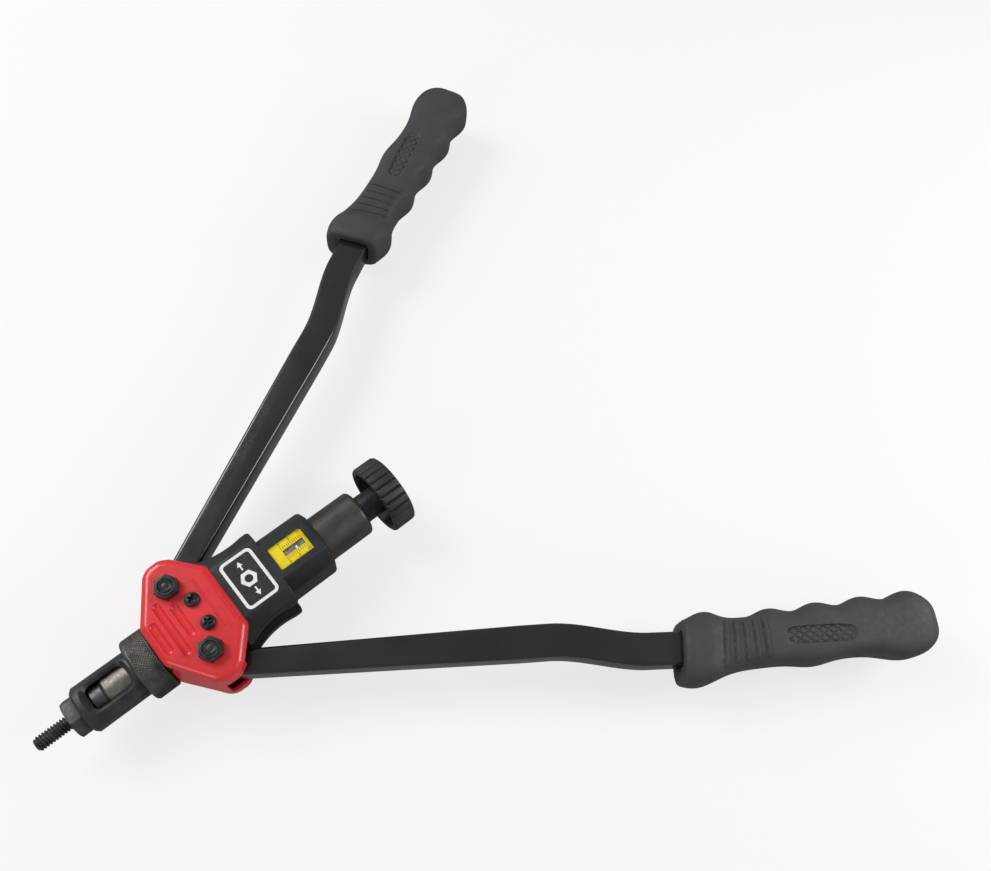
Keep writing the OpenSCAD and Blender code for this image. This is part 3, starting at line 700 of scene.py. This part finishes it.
body_top = 15.3
rail_low, rail_high = 10.4, 15.6
arm_room = 6.9
draw_room = 9.8
collar_room = 17.2
thread_room = 19.1
tube_room = 22.7
key_half = 1.9
boss_middle = -47
scale_front, scale_back = -99.1, -115.4
scale_half = 5.7
scale_under, scale_top = 13.9, 14.5
seat_gap = 0.05
shoulder_end = -97.5
tail_end = -120.4
waist = pivot_x - 28.3
flank = [(x, 18.2 + 0.0181 * (x - waist) ** 2) for x in [-71 - 1.12 * i for i in range(21)]]
flank += [(shoulder_end + 1, 19.1), (shoulder_end, 18.1)]
shoulders = slab("casting_black", flank + [(x, -y) for x, y in reversed(flank)], -body_top, body_top)
boolean(shoulders, bar("shoulder_slopes", eight_sides(13, 22, 8.8, body_top), -60, -110), "INTERSECT")
soften(shoulders, 1.0, 4, 24)
tail = bar("tail_block", eight_sides(8.9, 14.3, 7.5, body_top), -90, tail_end)
bevel_edges(tail, lambda a, b: max(a.x, b.x) < tail_end + 0.01, 2.0, 3)
soften(tail, 0.9, 4, 24)
boolean(shoulders, tail, "UNION")
clean_skin(shoulders, 1e-5)
for side in (-1, 1):
    near, far = sorted((side * 12.8, side * cover_side))
    boolean(shoulders, box("arm_slot", (shoulder_end - 0.1, near, -arm_room), (pivot_x, far, arm_room)))
boolean(shoulders, box("draw_room", (-83.2, -draw_room, -rail_low), (-50, draw_room, rail_low)))
boolean(shoulders, prism("collar_room", 64, collar_room, (-70, 0, 0), "X", 44.8))
boolean(shoulders, prism("tube_thread", 64, thread_room, (-107.8, 0, 0), "X", 36.2))
boolean(shoulders, prism("tube_bore", 72, tube_room, (-115, 0, 0), "X", 14))
boolean(shoulders, box("key_way", (-119.1, -key_half, 5), (-97, key_half, 14)))
boolean(shoulders, box("scale_seat", (scale_back - seat_gap, -scale_half - seat_gap, scale_under),
    (scale_front + seat_gap, scale_half + seat_gap, 18)))
clean_skin(shoulders, 1e-5)
boss = box("casting_boss", (-53.5, -11.6, -rail_high), (-40.8, 11.6, rail_high))
boolean(boss, prism("boss_round", 96, 28.2, (boss_middle, 0, 0), "X", 20), "INTERSECT")
boolean(boss, prism("boss_bore", 64, 2 * ring_bore, (boss_middle, 0, 0), "X", 20))
rails = [box("casting_rail", (-76.4, -11, low), (-53.4, 11, high))
    for low, high in ((rail_low, rail_high), (-rail_high, -rail_low))]
for part in (shoulders, *rails):
    for side in (-1, 1):
        near, far = sorted((side * 2.7, side * 9.3))
        boolean(part, box("post_hole", (-72, near, -17), (-60.2, far, 17)))
casting = join(shoulders, boss, *rails)
smooth(casting, 30)

casting_enamel, look = finish_of("casting_satin_black", (0.02, 0.0215, 0.025), 0.0, 0.42)
look.shader.inputs["Specular IOR Level"].default_value = 0.35
two_tone(look, noise(look, 90, 6), (0.016, 0.0172, 0.02), (0.026, 0.0278, 0.032))
rough_between(look, noise(look, 420), 0.36, 0.52)
bump_from(look, noise(look, 1500, 3), 0.06)
wear(casting, casting_enamel)
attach(casting, "casting")
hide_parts("body_casting")

# Label place. A thin black foil on the flat of the casting, with a white line printed round its
# edge and a plain sign for a nut being drawn up. Nothing is written in it.


def rounded_slab(name, x0, x1, half_y, low, high, corner):
    piece = slab(name, [(x0, half_y), (x1, half_y), (x1, -half_y), (x0, -half_y)], low, high)
    bevel_edges(piece, lambda a, b: abs(a.z - b.z) > 0.8 * (high - low), corner, 8)
    return piece


def label_shape(name, inset, low, high, corner):
    """The label's outline, drawn in by that distance."""
    return rounded_slab(name, label_front - inset, label_back + inset, label_half - inset, low, high, corner)


label_front, label_back = -78.4, -94.4
label_middle = (label_front + label_back) / 2
label_half = 12.2
line_outside, line_inside = 0.3, 1.65
print_low, print_high = body_top + 0.03, body_top + 0.07
foil = label_shape("label_foil", 0, body_top - 0.02, body_top + 0.04, 2.7)
border = label_shape("label_border", line_outside, print_low, print_high, 2.4)
boolean(border, label_shape("border_inside", line_inside, body_top - 1, body_top + 1, 1.3))
symbol = prism("nut_symbol", 6, 6.6, (label_middle, 0, body_top + 0.05), "Z", 0.04, 30)
boolean(symbol, prism("symbol_hole", 40, 3.6, (label_middle, 0, body_top), "Z", 2))
arrow = ((-0.35, 4.5), (-0.35, 6.6), (-1.3, 6.6), (0, 8.8), (1.3, 6.6), (0.35, 6.6), (0.35, 4.5))
arrows = [slab("pull_arrow", [(label_middle + x, side * y) for x, y in arrow], print_low, print_high)
    for side in (-1, 1)]
border = join(border, symbol, *arrows)
clean_skin(border, 1e-7)
foil_black, look = finish_of("label_foil_black", (0.02, 0.02, 0.022), 0.0, 0.32)
two_tone(look, noise(look, 160, 5), (0.016, 0.016, 0.018), (0.026, 0.026, 0.029))
rough_between(look, noise(look, 500), 0.26, 0.4)
wear(foil, foil_black)
print_white, look = finish_of("label_print_white", (0.82, 0.82, 0.82), 0.0, 0.5)
two_tone(look, noise(look, 700, 5), (0.72, 0.72, 0.72), (0.86, 0.86, 0.86), 0.25, 0.5)
wear(border, print_white)
for piece in (foil, border):
    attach(piece, "casting")

# Stroke scale. A yellow enamelled plate let into the tail block, with a slot down its middle.
# Fine black lines and numbers are printed on both sides of the slot.

scale_plate = rounded_slab("scale_yellow", scale_front, scale_back, scale_half, scale_under, scale_top, 0.4)
boolean(scale_plate, box("scale_slot", (-114.0, -1.45, 13), (-103.8, 1.45, 16)))
yellow, look = finish_of("scale_yellow_enamel", (0.86, 0.68, 0.012), 0.0, 0.45)
look.shader.inputs["Specular IOR Level"].default_value = 0.3
two_tone(look, noise(look, 260, 5), (0.8, 0.61, 0.01), (0.9, 0.72, 0.016), 0.3, 0.6)
rough_between(look, noise(look, 600), 0.34, 0.5)
wear(scale_plate, yellow)
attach(scale_plate, "casting")
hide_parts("scale_plate")

scale_zero = -104.0
scale_step = 0.97
line_half = 0.09
marks = []
for i in range(11):
    for side in (-1, 1):
        long = 3.9 if i % 5 == 0 else 3.3
        near, far = sorted((side * 1.75, side * long))
        x = scale_zero - i * scale_step
        marks.append(box("scale_line", (x - line_half, near, scale_top - 0.02),
            (x + line_half, far, scale_top + 0.03)))
for number, i in (("0", 0), ("5", 5), ("10", 10)):
    for side in (-1, 1):
        bpy.ops.object.select_all(action="DESELECT")
        bpy.ops.object.text_add()
        figure = bpy.context.object
        figure.data.body = number
        figure.data.size = 0.0017
        figure.data.extrude = 0.00002
        figure.data.align_x = "CENTER"
        figure.data.align_y = "CENTER"
        bpy.ops.object.convert(target="MESH")
        spot = mm(scale_zero - 0.2 - i * 0.95, side * 4.6, scale_top + 0.01)
        figure.data.transform(Matrix.Translation(spot) @ Matrix.Rotation(math.pi, 4, "Z"))
        marks.append(figure)
scale_marks = join(*marks)
scale_marks.name = "scale_marks"
clean_skin(scale_marks, 1e-8)
print_black, look = finish_of("scale_print_black", (0.02, 0.018, 0.015), 0.0, 0.5)
two_tone(look, noise(look, 900, 4), (0.012, 0.01, 0.008), (0.05, 0.04, 0.02), 0.35, 0.7)
wear(scale_marks, print_black)
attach(scale_marks, "casting")

# Stroke slider. A grey zinc-plated key that runs in the slot under the scale, with fine lines
# milled across it and one white mark to read the stroke from.

slider_half = 1.4
slider_face = 13.6
rib_first = -101.9
rib_pitch = 0.6
slider_ribs = box("slider_ribs", (rib_first - 0.2, -slider_half, slider_face - 0.05),
    (rib_first + 0.1, slider_half, slider_face + 0.06))
apply_modifier(slider_ribs, "ARRAY", count=24, use_relative_offset=False, use_constant_offset=True,
    constant_offset_displace=mm(-rib_pitch, 0, 0))
slider_mark = box("slider_mark", (-110.3, -0.1, slider_face), (-109.5, 1.35, slider_face + 0.12))
soften(slider_mark, 0.03, 2)
zinc, look = finish_of("slider_zinc", (0.24, 0.225, 0.22), 0.35, 0.45)
two_tone(look, noise(look, 500, 5), (0.17, 0.16, 0.155), (0.3, 0.285, 0.275))
rough_between(look, noise(look, 900), 0.36, 0.55)
wear(slider_ribs, zinc)
wear(nodes["stroke_slider"], zinc)
wear(slider_mark, print_white)
for piece in (slider_ribs, slider_mark):
    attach(piece, "stroke_slider")

# Stroke tube. A turned steel tube, brown-grey from phosphating, with a rounded end. It screws
# into the tail block, and turning it moves the slider and sets how far the mandrel is drawn.

tube_radius = 11.05
tube_mouth = -143.0
tube_front = -93.6
tube_thread = 9.5
tube_bore = 7.3
rod_bore = 4.6
tube_step = -112.0
relief_front, relief_back = -113.7, -116.3
relief_radius = 9.8
mouth_edge = 2
rounded = rounded_edge(tube_mouth, tube_radius, mouth_edge, 1, range(15, 91, 15))
tube = turned("stroke_tube_turned", [(tube_front, rod_bore), (tube_front, 9.2),
    (tube_front - 0.3, tube_thread), (tube_step, tube_thread), (tube_step, tube_radius),
    (relief_front, tube_radius), (relief_front, relief_radius), (relief_back, relief_radius),
    (relief_back, tube_radius), (tube_mouth + 2.1, tube_radius)] + rounded + [(tube_mouth, 7.7),
    (tube_mouth + 0.4, tube_bore), (tube_front - 5, tube_bore), (tube_front - 5, rod_bore),
    (tube_front, rod_bore)], 128)
smooth(tube, 30)
tube_steel, look = finish_of("tube_brown_phosphate", (0.1, 0.092, 0.084), 0.6, 0.42)
two_tone(look, noise(look, 210, 6, (0.35, 1, 1)), (0.066, 0.06, 0.054), (0.098, 0.09, 0.081))
rough_between(look, noise(look, 420), 0.34, 0.5)
bump_from(look, turning_marks(look, 700, 0.4), 0.008)
wear(tube, tube_steel)
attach(tube, "stroke_tube")
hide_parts("stroke_tube")

# Knob and hub. A moulded black plastic knob with narrow flutes, dished toward the nose, pressed
# on a blackened steel hub and held on the spindle by a screw in its end.

knob_near = -151.0
knob_far = -162.4
knob_radius = 17.1
knob_seat = 6.75
flutes = 26
flute_depth = 1.15
knob = turned("knob_fluted", [(knob_near - 6, knob_seat), (knob_near - 6, 12.9), (knob_near - 5.2, 13.7),
    (knob_near - 0.5, 14.4), (knob_near, 14.9), (knob_near, 16.1), (knob_near - 0.35, 16.75),
    (knob_near - 1.0, knob_radius), (knob_far + 1.5, knob_radius), (knob_far + 0.5, 16.7), (knob_far, 15.7),
    (knob_far, 5.8), (knob_far + 0.4, 5.4), (knob_far + 3.1, 5.4), (knob_far + 3.1, knob_seat),
    (knob_near - 6, knob_seat)], flutes * 12)
for vertex in knob.data.vertices:
    x, y, z = [v * 1000 for v in vertex.co]
    radius = math.hypot(y, z)
    if radius > 15.5:
        phase = (math.atan2(y, z) / (2 * math.pi) * flutes) % 1
        across = abs(phase - 0.5) * 2
        depth = flute_depth * max(0, 1 - across / 0.36) ** 0.6
        new_radius = min(radius, knob_radius - depth)
        vertex.co.y *= new_radius / radius
        vertex.co.z *= new_radius / radius
smooth(knob, 28)
knob_plastic, look = finish_of("knob_black_plastic", (0.024, 0.0255, 0.028), 0.0, 0.5)
two_tone(look, noise(look, 130, 6), (0.019, 0.02, 0.022), (0.032, 0.034, 0.037))
rough_between(look, noise(look, 500), 0.42, 0.6)
bump_from(look, noise(look, 1900, 3), 0.04)
wear(knob, knob_plastic)
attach(knob, "spindle")
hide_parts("knob")

hub_front, hub_end = -139.6, -159.2
hub_radius, hub_bore = 6.7, 4.05
hub = turned("knob_hub_black", [(hub_front, hub_bore), (hub_front, 6.2), (-140.1, hub_radius),
    (hub_end, hub_radius), (hub_end, hub_bore), (hub_front, hub_bore)], 72)
smooth(hub, 30)
wear(hub, black_oxide)
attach(hub, "spindle")
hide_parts("knob_hub")

# Levers. Two flat steel arms with rounded edges, painted gloss black and bent near the grips.
# Each turns on a pivot bolt by the eye at its end, and a forked heel bears on the fulcrum plate.

lower_open = 36.8
upper_open = 29.5
bend_from = 140
bend_length = 46
arm_thick = 6.2
eye_thick = 7.6
heel_reach = 12
heel_half = 3.5
heel_back = 2.8
tang_front, tang_neck, tang_end = 199.5, 212, 296
tang_half = 4.5
grip_from = 198
pivot_place = Matrix.Translation(mm(pivot_x, pivot_y, 0))
lower_place = pivot_place @ Matrix.Rotation(math.radians(180 - lower_open), 4, "Z")
upper_place = pivot_place @ Matrix.Rotation(math.radians(180 - upper_open), 4, "Z")
upper_place = Matrix.Diagonal((1, -1, 1, 1)) @ upper_place


def ease(t):
    t = min(1, max(0, t))
    return t * t * (3 - 2 * t)


def arm_mid(s):
    return -3.1 + 0.0244 * s - 7 * ease((s - bend_from) / bend_length)


def arm_half(s):
    return 7.3 - 2.1 * max(0, 1 - s / 127)


def grip_mid(s):
    return -6.2 + 0.065 * (s - grip_from)


def place_pair(piece, upper_name, lower_name):
    """Sets the piece at the lower pivot, and a mirrored copy of it at the upper one."""
    upper = copy_of(piece, upper_name)
    for each, name, place in ((upper, upper_name, upper_place), (piece, lower_name, lower_place)):
        each.name = name
        each.data.name = name
        each.data.transform(place)
        clean_skin(each, 1e-7)
    return upper, piece


stations = [0, 25, 50, 75, 101, 127] + [bend_from + i * bend_length / 16 for i in range(17)]
near = [(s, arm_mid(s) + arm_half(s)) for s in stations]
far = [(s, arm_mid(s) - arm_half(s)) for s in reversed(stations)]
arm_end = arm_mid(bend_from + bend_length)
tang_mid = grip_mid(tang_end)
tang = [(tang_front, arm_end + 7.2), (tang_neck, arm_end + tang_half), (tang_end, tang_mid + tang_half),
    (tang_end, tang_mid - tang_half), (tang_neck, arm_end - 6), (tang_front, arm_end - 7.4)]
arm = slab("lever_arm", near + tang + far, -arm_thick, arm_thick)
bevel_edges(arm, lambda a, b: abs(a.z) > arm_thick - 0.01 and abs(a.z - b.z) < 0.01, 1.5, 6)
eye = prism("lever_eye", 64, 12.8, (0, 0, 0), "Z", 2 * eye_thick)
soften(eye, 0.6, 3)
heel_turn = math.radians(110)
heel_along = Vector((math.cos(heel_turn), math.sin(heel_turn)))
heel_across = Vector((-heel_along.y, heel_along.x))
heel_line = [-heel_half * heel_across]
heel_line += [heel_reach * heel_along + heel_half * (math.sin(a) * heel_across + math.cos(a) * heel_along)
    for a in [math.radians(-90 + i * 15) for i in range(12)]]
heel_line += [heel_reach * heel_along + heel_back * heel_across, heel_back * heel_across]
heel = slab("lever_heel", [tuple(p) for p in heel_line], -eye_thick, eye_thick)
fork = box("heel_fork", (-20, 6, -4.5), (6, 26, 4.5))
boolean(fork, prism("fork_root", 64, 22.8, (0, 0, 0), "Z", 20))
boolean(heel, fork)
boolean(arm, eye, "UNION")
boolean(arm, heel, "UNION")
boolean(arm, prism("bush_seat", 64, 9.0, (0, 0, 0), "Z", 30))
clean_skin(arm, 1e-5)
upper_arm, lower_arm = place_pair(arm, "lever_upper_black", "lever_lower_black")

lever_paint, look = finish_of("lever_gloss_black", (0.011, 0.012, 0.014), 0.0, 0.24)
two_tone(look, noise(look, 40, 5), (0.009, 0.0098, 0.0112), (0.014, 0.0152, 0.0172))
rough_between(look, noise(look, 90, 3), 0.2, 0.29)
look.shader.inputs["Coat Weight"].default_value = 0.6
look.shader.inputs["Coat Roughness"].default_value = 0.08
bump_from(look, noise(look, 260, 1), 0.004)
for piece, body in ((upper_arm, "upper_lever"), (lower_arm, "lower_lever")):
    smooth(piece, 30)
    wear(piece, lever_paint)
    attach(piece, body)
    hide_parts(body)

# Grips. Moulded rubber handles pushed on to the arms, with a flared collar in front, finger
# bumps inside, cross ridges and a hatched thumb pad on both faces, and a rounded end.

grip_tail = 308
grip_tail_length = 12.9
grip_square = 3.6
grip_lean = 0.1
finger_first = 240.2
finger_pitch = 22.2
relief_from, relief_to = 214, 280
ridges = [217.1 + 4.62 * i for i in range(5)]
ridge_height = 1.05
ridge_half = 0.95
pad_s, pad_q = 261.1, 3.2
pad_half_s, pad_half_q = 16.7, 3.9


def along(s, points):
    """A value read off a smooth line through (s, value) points."""
    for (a, low), (b, high) in zip(points, points[1:]):
        if s <= b:
            return low + (high - low) * ease((s - a) / (b - a))
    return points[-1][1]


def swell(s, at, reach):
    return math.exp(-((s - at) / reach) ** 2)


def grip_ring(s, inset=0.0):
    """Middle, inner and outer reach, half thickness and squareness of the grip at s."""
    bumps = 0 if s < 229.1 else (1 + math.cos(2 * math.pi * (s - finger_first) / finger_pitch)) / 2
    end = (1 - min(1, max(0, (s - grip_tail) / grip_tail_length)) ** 2.4) ** (1 / 2.4)
    reach_in = (11.1 + 0.018 * max(0, s - 229) + 2.5 * bumps + 4.4 * swell(s, 208, 9)) * end - inset
    reach_out = (11.1 + 5.2 * swell(s, 206.5, 12) + 2 * swell(s, 260, 10)
        + 3.9 * swell(s, 304, 13)) * end - inset
    thick = along(s, [(grip_from, 10.4), (201, 12), (210, 12), (216, 10.5), (281, 11),
        (309, 11)]) * end - inset
    return grip_mid(s), reach_in, reach_out, thick, grip_square


def face_relief(s, q, share):
    """Height of the ridges and of the hatched pad over the face of the grip."""
    over = ease((0.8 - abs(share)) / 0.1)
    raised = 0.0
    for ridge in ridges:
        leaning = s - ridge - grip_lean * (q + 5) * (1 - ease((s - 210) / 40))
        raised += ridge_height * math.sqrt(max(0, 1 - (leaning / ridge_half) ** 2)) * over
    edge = (abs(q + pad_q) / pad_half_q) ** 4 + (abs(s - pad_s) / pad_half_s) ** 4
    pad = ease((1 - edge) / 0.3)
    lines = [abs((s / 4.6 + turn * (q + pad_q) / 3.7) % 1 - 0.5) for turn in (-1, 1)]
    groove = ease((max(lines) - 0.36) / 0.1)
    return raised - pad * (0.75 + 0.45 * groove)


grip_rings = [(212.0, -5.7, 0, 0, 0, 6), (212.0, -5.7, 7.2, 7.2, 6.25, 8), (199.4, -5.7, 7.3, 7.3, 6.3, 8),
    (198.5, -5.7, 7.5, 7.5, 6.5, 8), (198.1, -5.7, 7.9, 7.9, 6.9, 7)]
for s, inset in ((grip_from, 2.2), (198.2, 1.4), (198.6, 0.75), (199.3, 0.25), (200.2, 0.0)):
    grip_rings.append((s, *grip_ring(max(s, 200.2), inset)))
s = 201.0
while s < grip_tail:
    grip_rings.append((s, *grip_ring(s)))
    s += 0.3 if relief_from < s < relief_to else 1.0
for turn in range(0, 91, 5):
    s = grip_tail + grip_tail_length * math.sin(math.radians(turn))
    grip_rings.append((s, *grip_ring(s)))

around = 200
bpy.ops.object.select_all(action="DESELECT")
bpy.ops.mesh.primitive_grid_add(x_subdivisions=around, y_subdivisions=len(grip_rings) - 1, size=1)
grip = bpy.context.object
half_way = around // 2
for index, vertex in enumerate(grip.data.vertices):
    s, middle, reach_in, reach_out, thick, square = grip_rings[index // (around + 1)]
    column = index % (around + 1)
    share = math.cos(math.pi * column / half_way)
    face = 1 if column <= half_way else -1
    rise = max(0, 1 - abs(share) ** square) ** (1 / square)
    q = middle + share * (reach_in if share > 0 else reach_out)
    z = thick * rise
    if relief_from < s < relief_to and rise > 0.5:
        z += face_relief(s, q, share) * ease((rise - 0.5) / 0.35)
    s += grip_lean * (q - middle) * (1 - ease((s - 210) / 18))
    vertex.co = mm(s, q, face * z)
clean_skin(grip, 1e-5)
upper_grip, lower_grip = place_pair(grip, "grip_upper_rubber", "grip_lower_rubber")

rubber, look = finish_of("grip_rubber", (0.046, 0.05, 0.055), 0.0, 0.58)
look.shader.inputs["Specular IOR Level"].default_value = 0.4
two_tone(look, noise(look, 120, 6), (0.042, 0.0455, 0.05), (0.05, 0.0545, 0.06))
rough_between(look, noise(look, 350), 0.56, 0.72)
bump_from(look, noise(look, 1300, 4), 0.06)
for piece, body, node in ((upper_grip, "upper_lever", "upper_grip"),
        (lower_grip, "lower_lever", "lower_grip")):
    smooth(piece, 45)
    wear(piece, rubber)
    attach(piece, body)
    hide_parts(node)

# Draw gear inside. Steel plates, pins, bushes and the long spindle, plain turned or blanked and
# left bare, phosphated or in bronze. They show through the window, the slots and the knob's end.

bare_steel, look = finish_of("bare_turned_steel", (0.22, 0.21, 0.185), 0.8, 0.5)
two_tone(look, noise(look, 420, 6), (0.18, 0.17, 0.15), (0.25, 0.238, 0.21))
rough_between(look, noise(look, 700), 0.42, 0.58)
bump_from(look, turning_marks(look, 900, 0.6), 0.006)
blanked, look = finish_of("blanked_phosphate", (0.1, 0.098, 0.095), 0.5, 0.5)
two_tone(look, noise(look, 200, 6), (0.075, 0.073, 0.07), (0.135, 0.13, 0.125))
rough_between(look, noise(look, 600), 0.42, 0.6)
bump_from(look, noise(look, 2400), 0.02)
bronze, look = finish_of("oiled_bronze", (0.45, 0.27, 0.11), 0.95, 0.36)
two_tone(look, noise(look, 260, 6), (0.34, 0.19, 0.07), (0.55, 0.34, 0.15))
rough_between(look, noise(look, 800), 0.28, 0.46)
bump_from(look, noise(look, 3000), 0.012)
for name in ("spindle", "chuck", "chuck_pin", "chuck_screw", "retaining_ring", "collar_pin", "thrust_collar"):
    wear(nodes[name], bare_steel)
for name in ("fulcrum_plate", "draw_block", "front_yoke_plate", "rear_yoke_plate", "yoke_rivets",
        "pivot_spacers"):
    wear(nodes[name], blanked)
for name in ("upper_bush", "lower_bush", "thrust_washer"):
    wear(nodes[name], bronze)
wear(nodes["knob_screw"], black_oxide)

# Stage. A plain pale floor under the tool, which keeps its shadow, soft studio light from one
# large panel and two small ones at the sides, and a camera where the photograph was taken.

bpy.ops.object.select_all(action="DESELECT")
bpy.ops.mesh.primitive_plane_add(size=6, location=(-0.15, 0, cad_low.z - 0.0005))
floor = bpy.context.object
floor.name = "pale_floor"
floor_paint, look = finish_of("floor_paint", (0.86, 0.86, 0.86), 0.0, 0.8)
tree = look.tree
rays = tree.nodes.new("ShaderNodeLightPath")
surface = look.shader.outputs["BSDF"]
for ray, brightness, part in (("Is Camera Ray", 1.0, 0.72), ("Is Transmission Ray", 1.0, 0.72),
        ("Is Glossy Ray", 0.1, 0.7)):
    share = tree.nodes.new("ShaderNodeMath")
    share.operation = "MULTIPLY"
    share.inputs[1].default_value = part
    tree.links.new(rays.outputs[ray], share.inputs[0])
    glow = tree.nodes.new("ShaderNodeEmission")
    glow.inputs["Color"].default_value = (1, 1, 1, 1)
    glow.inputs["Strength"].default_value = brightness
    blend_paint = tree.nodes.new("ShaderNodeMixShader")
    tree.links.new(share.outputs[0], blend_paint.inputs["Fac"])
    tree.links.new(surface, blend_paint.inputs[1])
    tree.links.new(glow.outputs["Emission"], blend_paint.inputs[2])
    surface = blend_paint.outputs["Shader"]
tree.links.new(surface, tree.nodes["Material Output"].inputs["Surface"])
wear(floor, floor_paint)
floor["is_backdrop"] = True

room = bpy.data.worlds.new("studio_room")
bpy.context.scene.world = room
room.use_nodes = True
tree = room.node_tree
air = tree.nodes["Background"]
air.inputs["Color"].default_value = (1, 1, 1, 1)
air.inputs["Strength"].default_value = 0.3
backdrop = tree.nodes.new("ShaderNodeBackground")
backdrop.inputs["Color"].default_value = (1, 1, 1, 1)
backdrop.inputs["Strength"].default_value = 1.0
rays = tree.nodes.new("ShaderNodeLightPath")
either = tree.nodes.new("ShaderNodeMixShader")
tree.links.new(rays.outputs["Is Camera Ray"], either.inputs["Fac"])
tree.links.new(air.outputs["Background"], either.inputs[1])
tree.links.new(backdrop.outputs["Background"], either.inputs[2])
tree.links.new(either.outputs["Shader"], tree.nodes["World Output"].inputs["Surface"])

tool_middle = Vector((-0.15, 0.03, 0))
for name, where, size, power in (("main_panel", (0.2, -0.87, 0.83), 0.7, 10),
        ("nose_panel", (0.75, 0.25, 0.5), 0.4, 1.2), ("grip_panel", (-0.75, 0.42, 0.44), 0.4, 3.2)):
    lamp = bpy.data.lights.new(name, "AREA")
    lamp.shape = "SQUARE"
    lamp.size = size
    lamp.energy = power
    panel = bpy.data.objects.new(name, lamp)
    bpy.context.scene.collection.objects.link(panel)
    panel.location = where
    panel.rotation_euler = (tool_middle - Vector(where)).to_track_quat("-Z", "Y").to_euler()

lens = bpy.data.cameras.new("photo_camera")
lens.sensor_width = 36
lens.lens = 31.71
lens.clip_start = 0.01
lens.clip_end = 20
camera = bpy.data.objects.new("photo_camera", lens)
bpy.context.scene.collection.objects.link(camera)
camera.matrix_world = Matrix(((-0.756168, -0.557551, 0.342559, -0.07253),
    (0.646670, -0.716798, 0.260803, 0.11958), (0.100135, 0.418734, 0.902571, 0.38164), (0, 0, 0, 1)))
bpy.context.scene.camera = camera
bpy.context.scene.view_settings.view_transform = "Standard"

low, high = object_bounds()
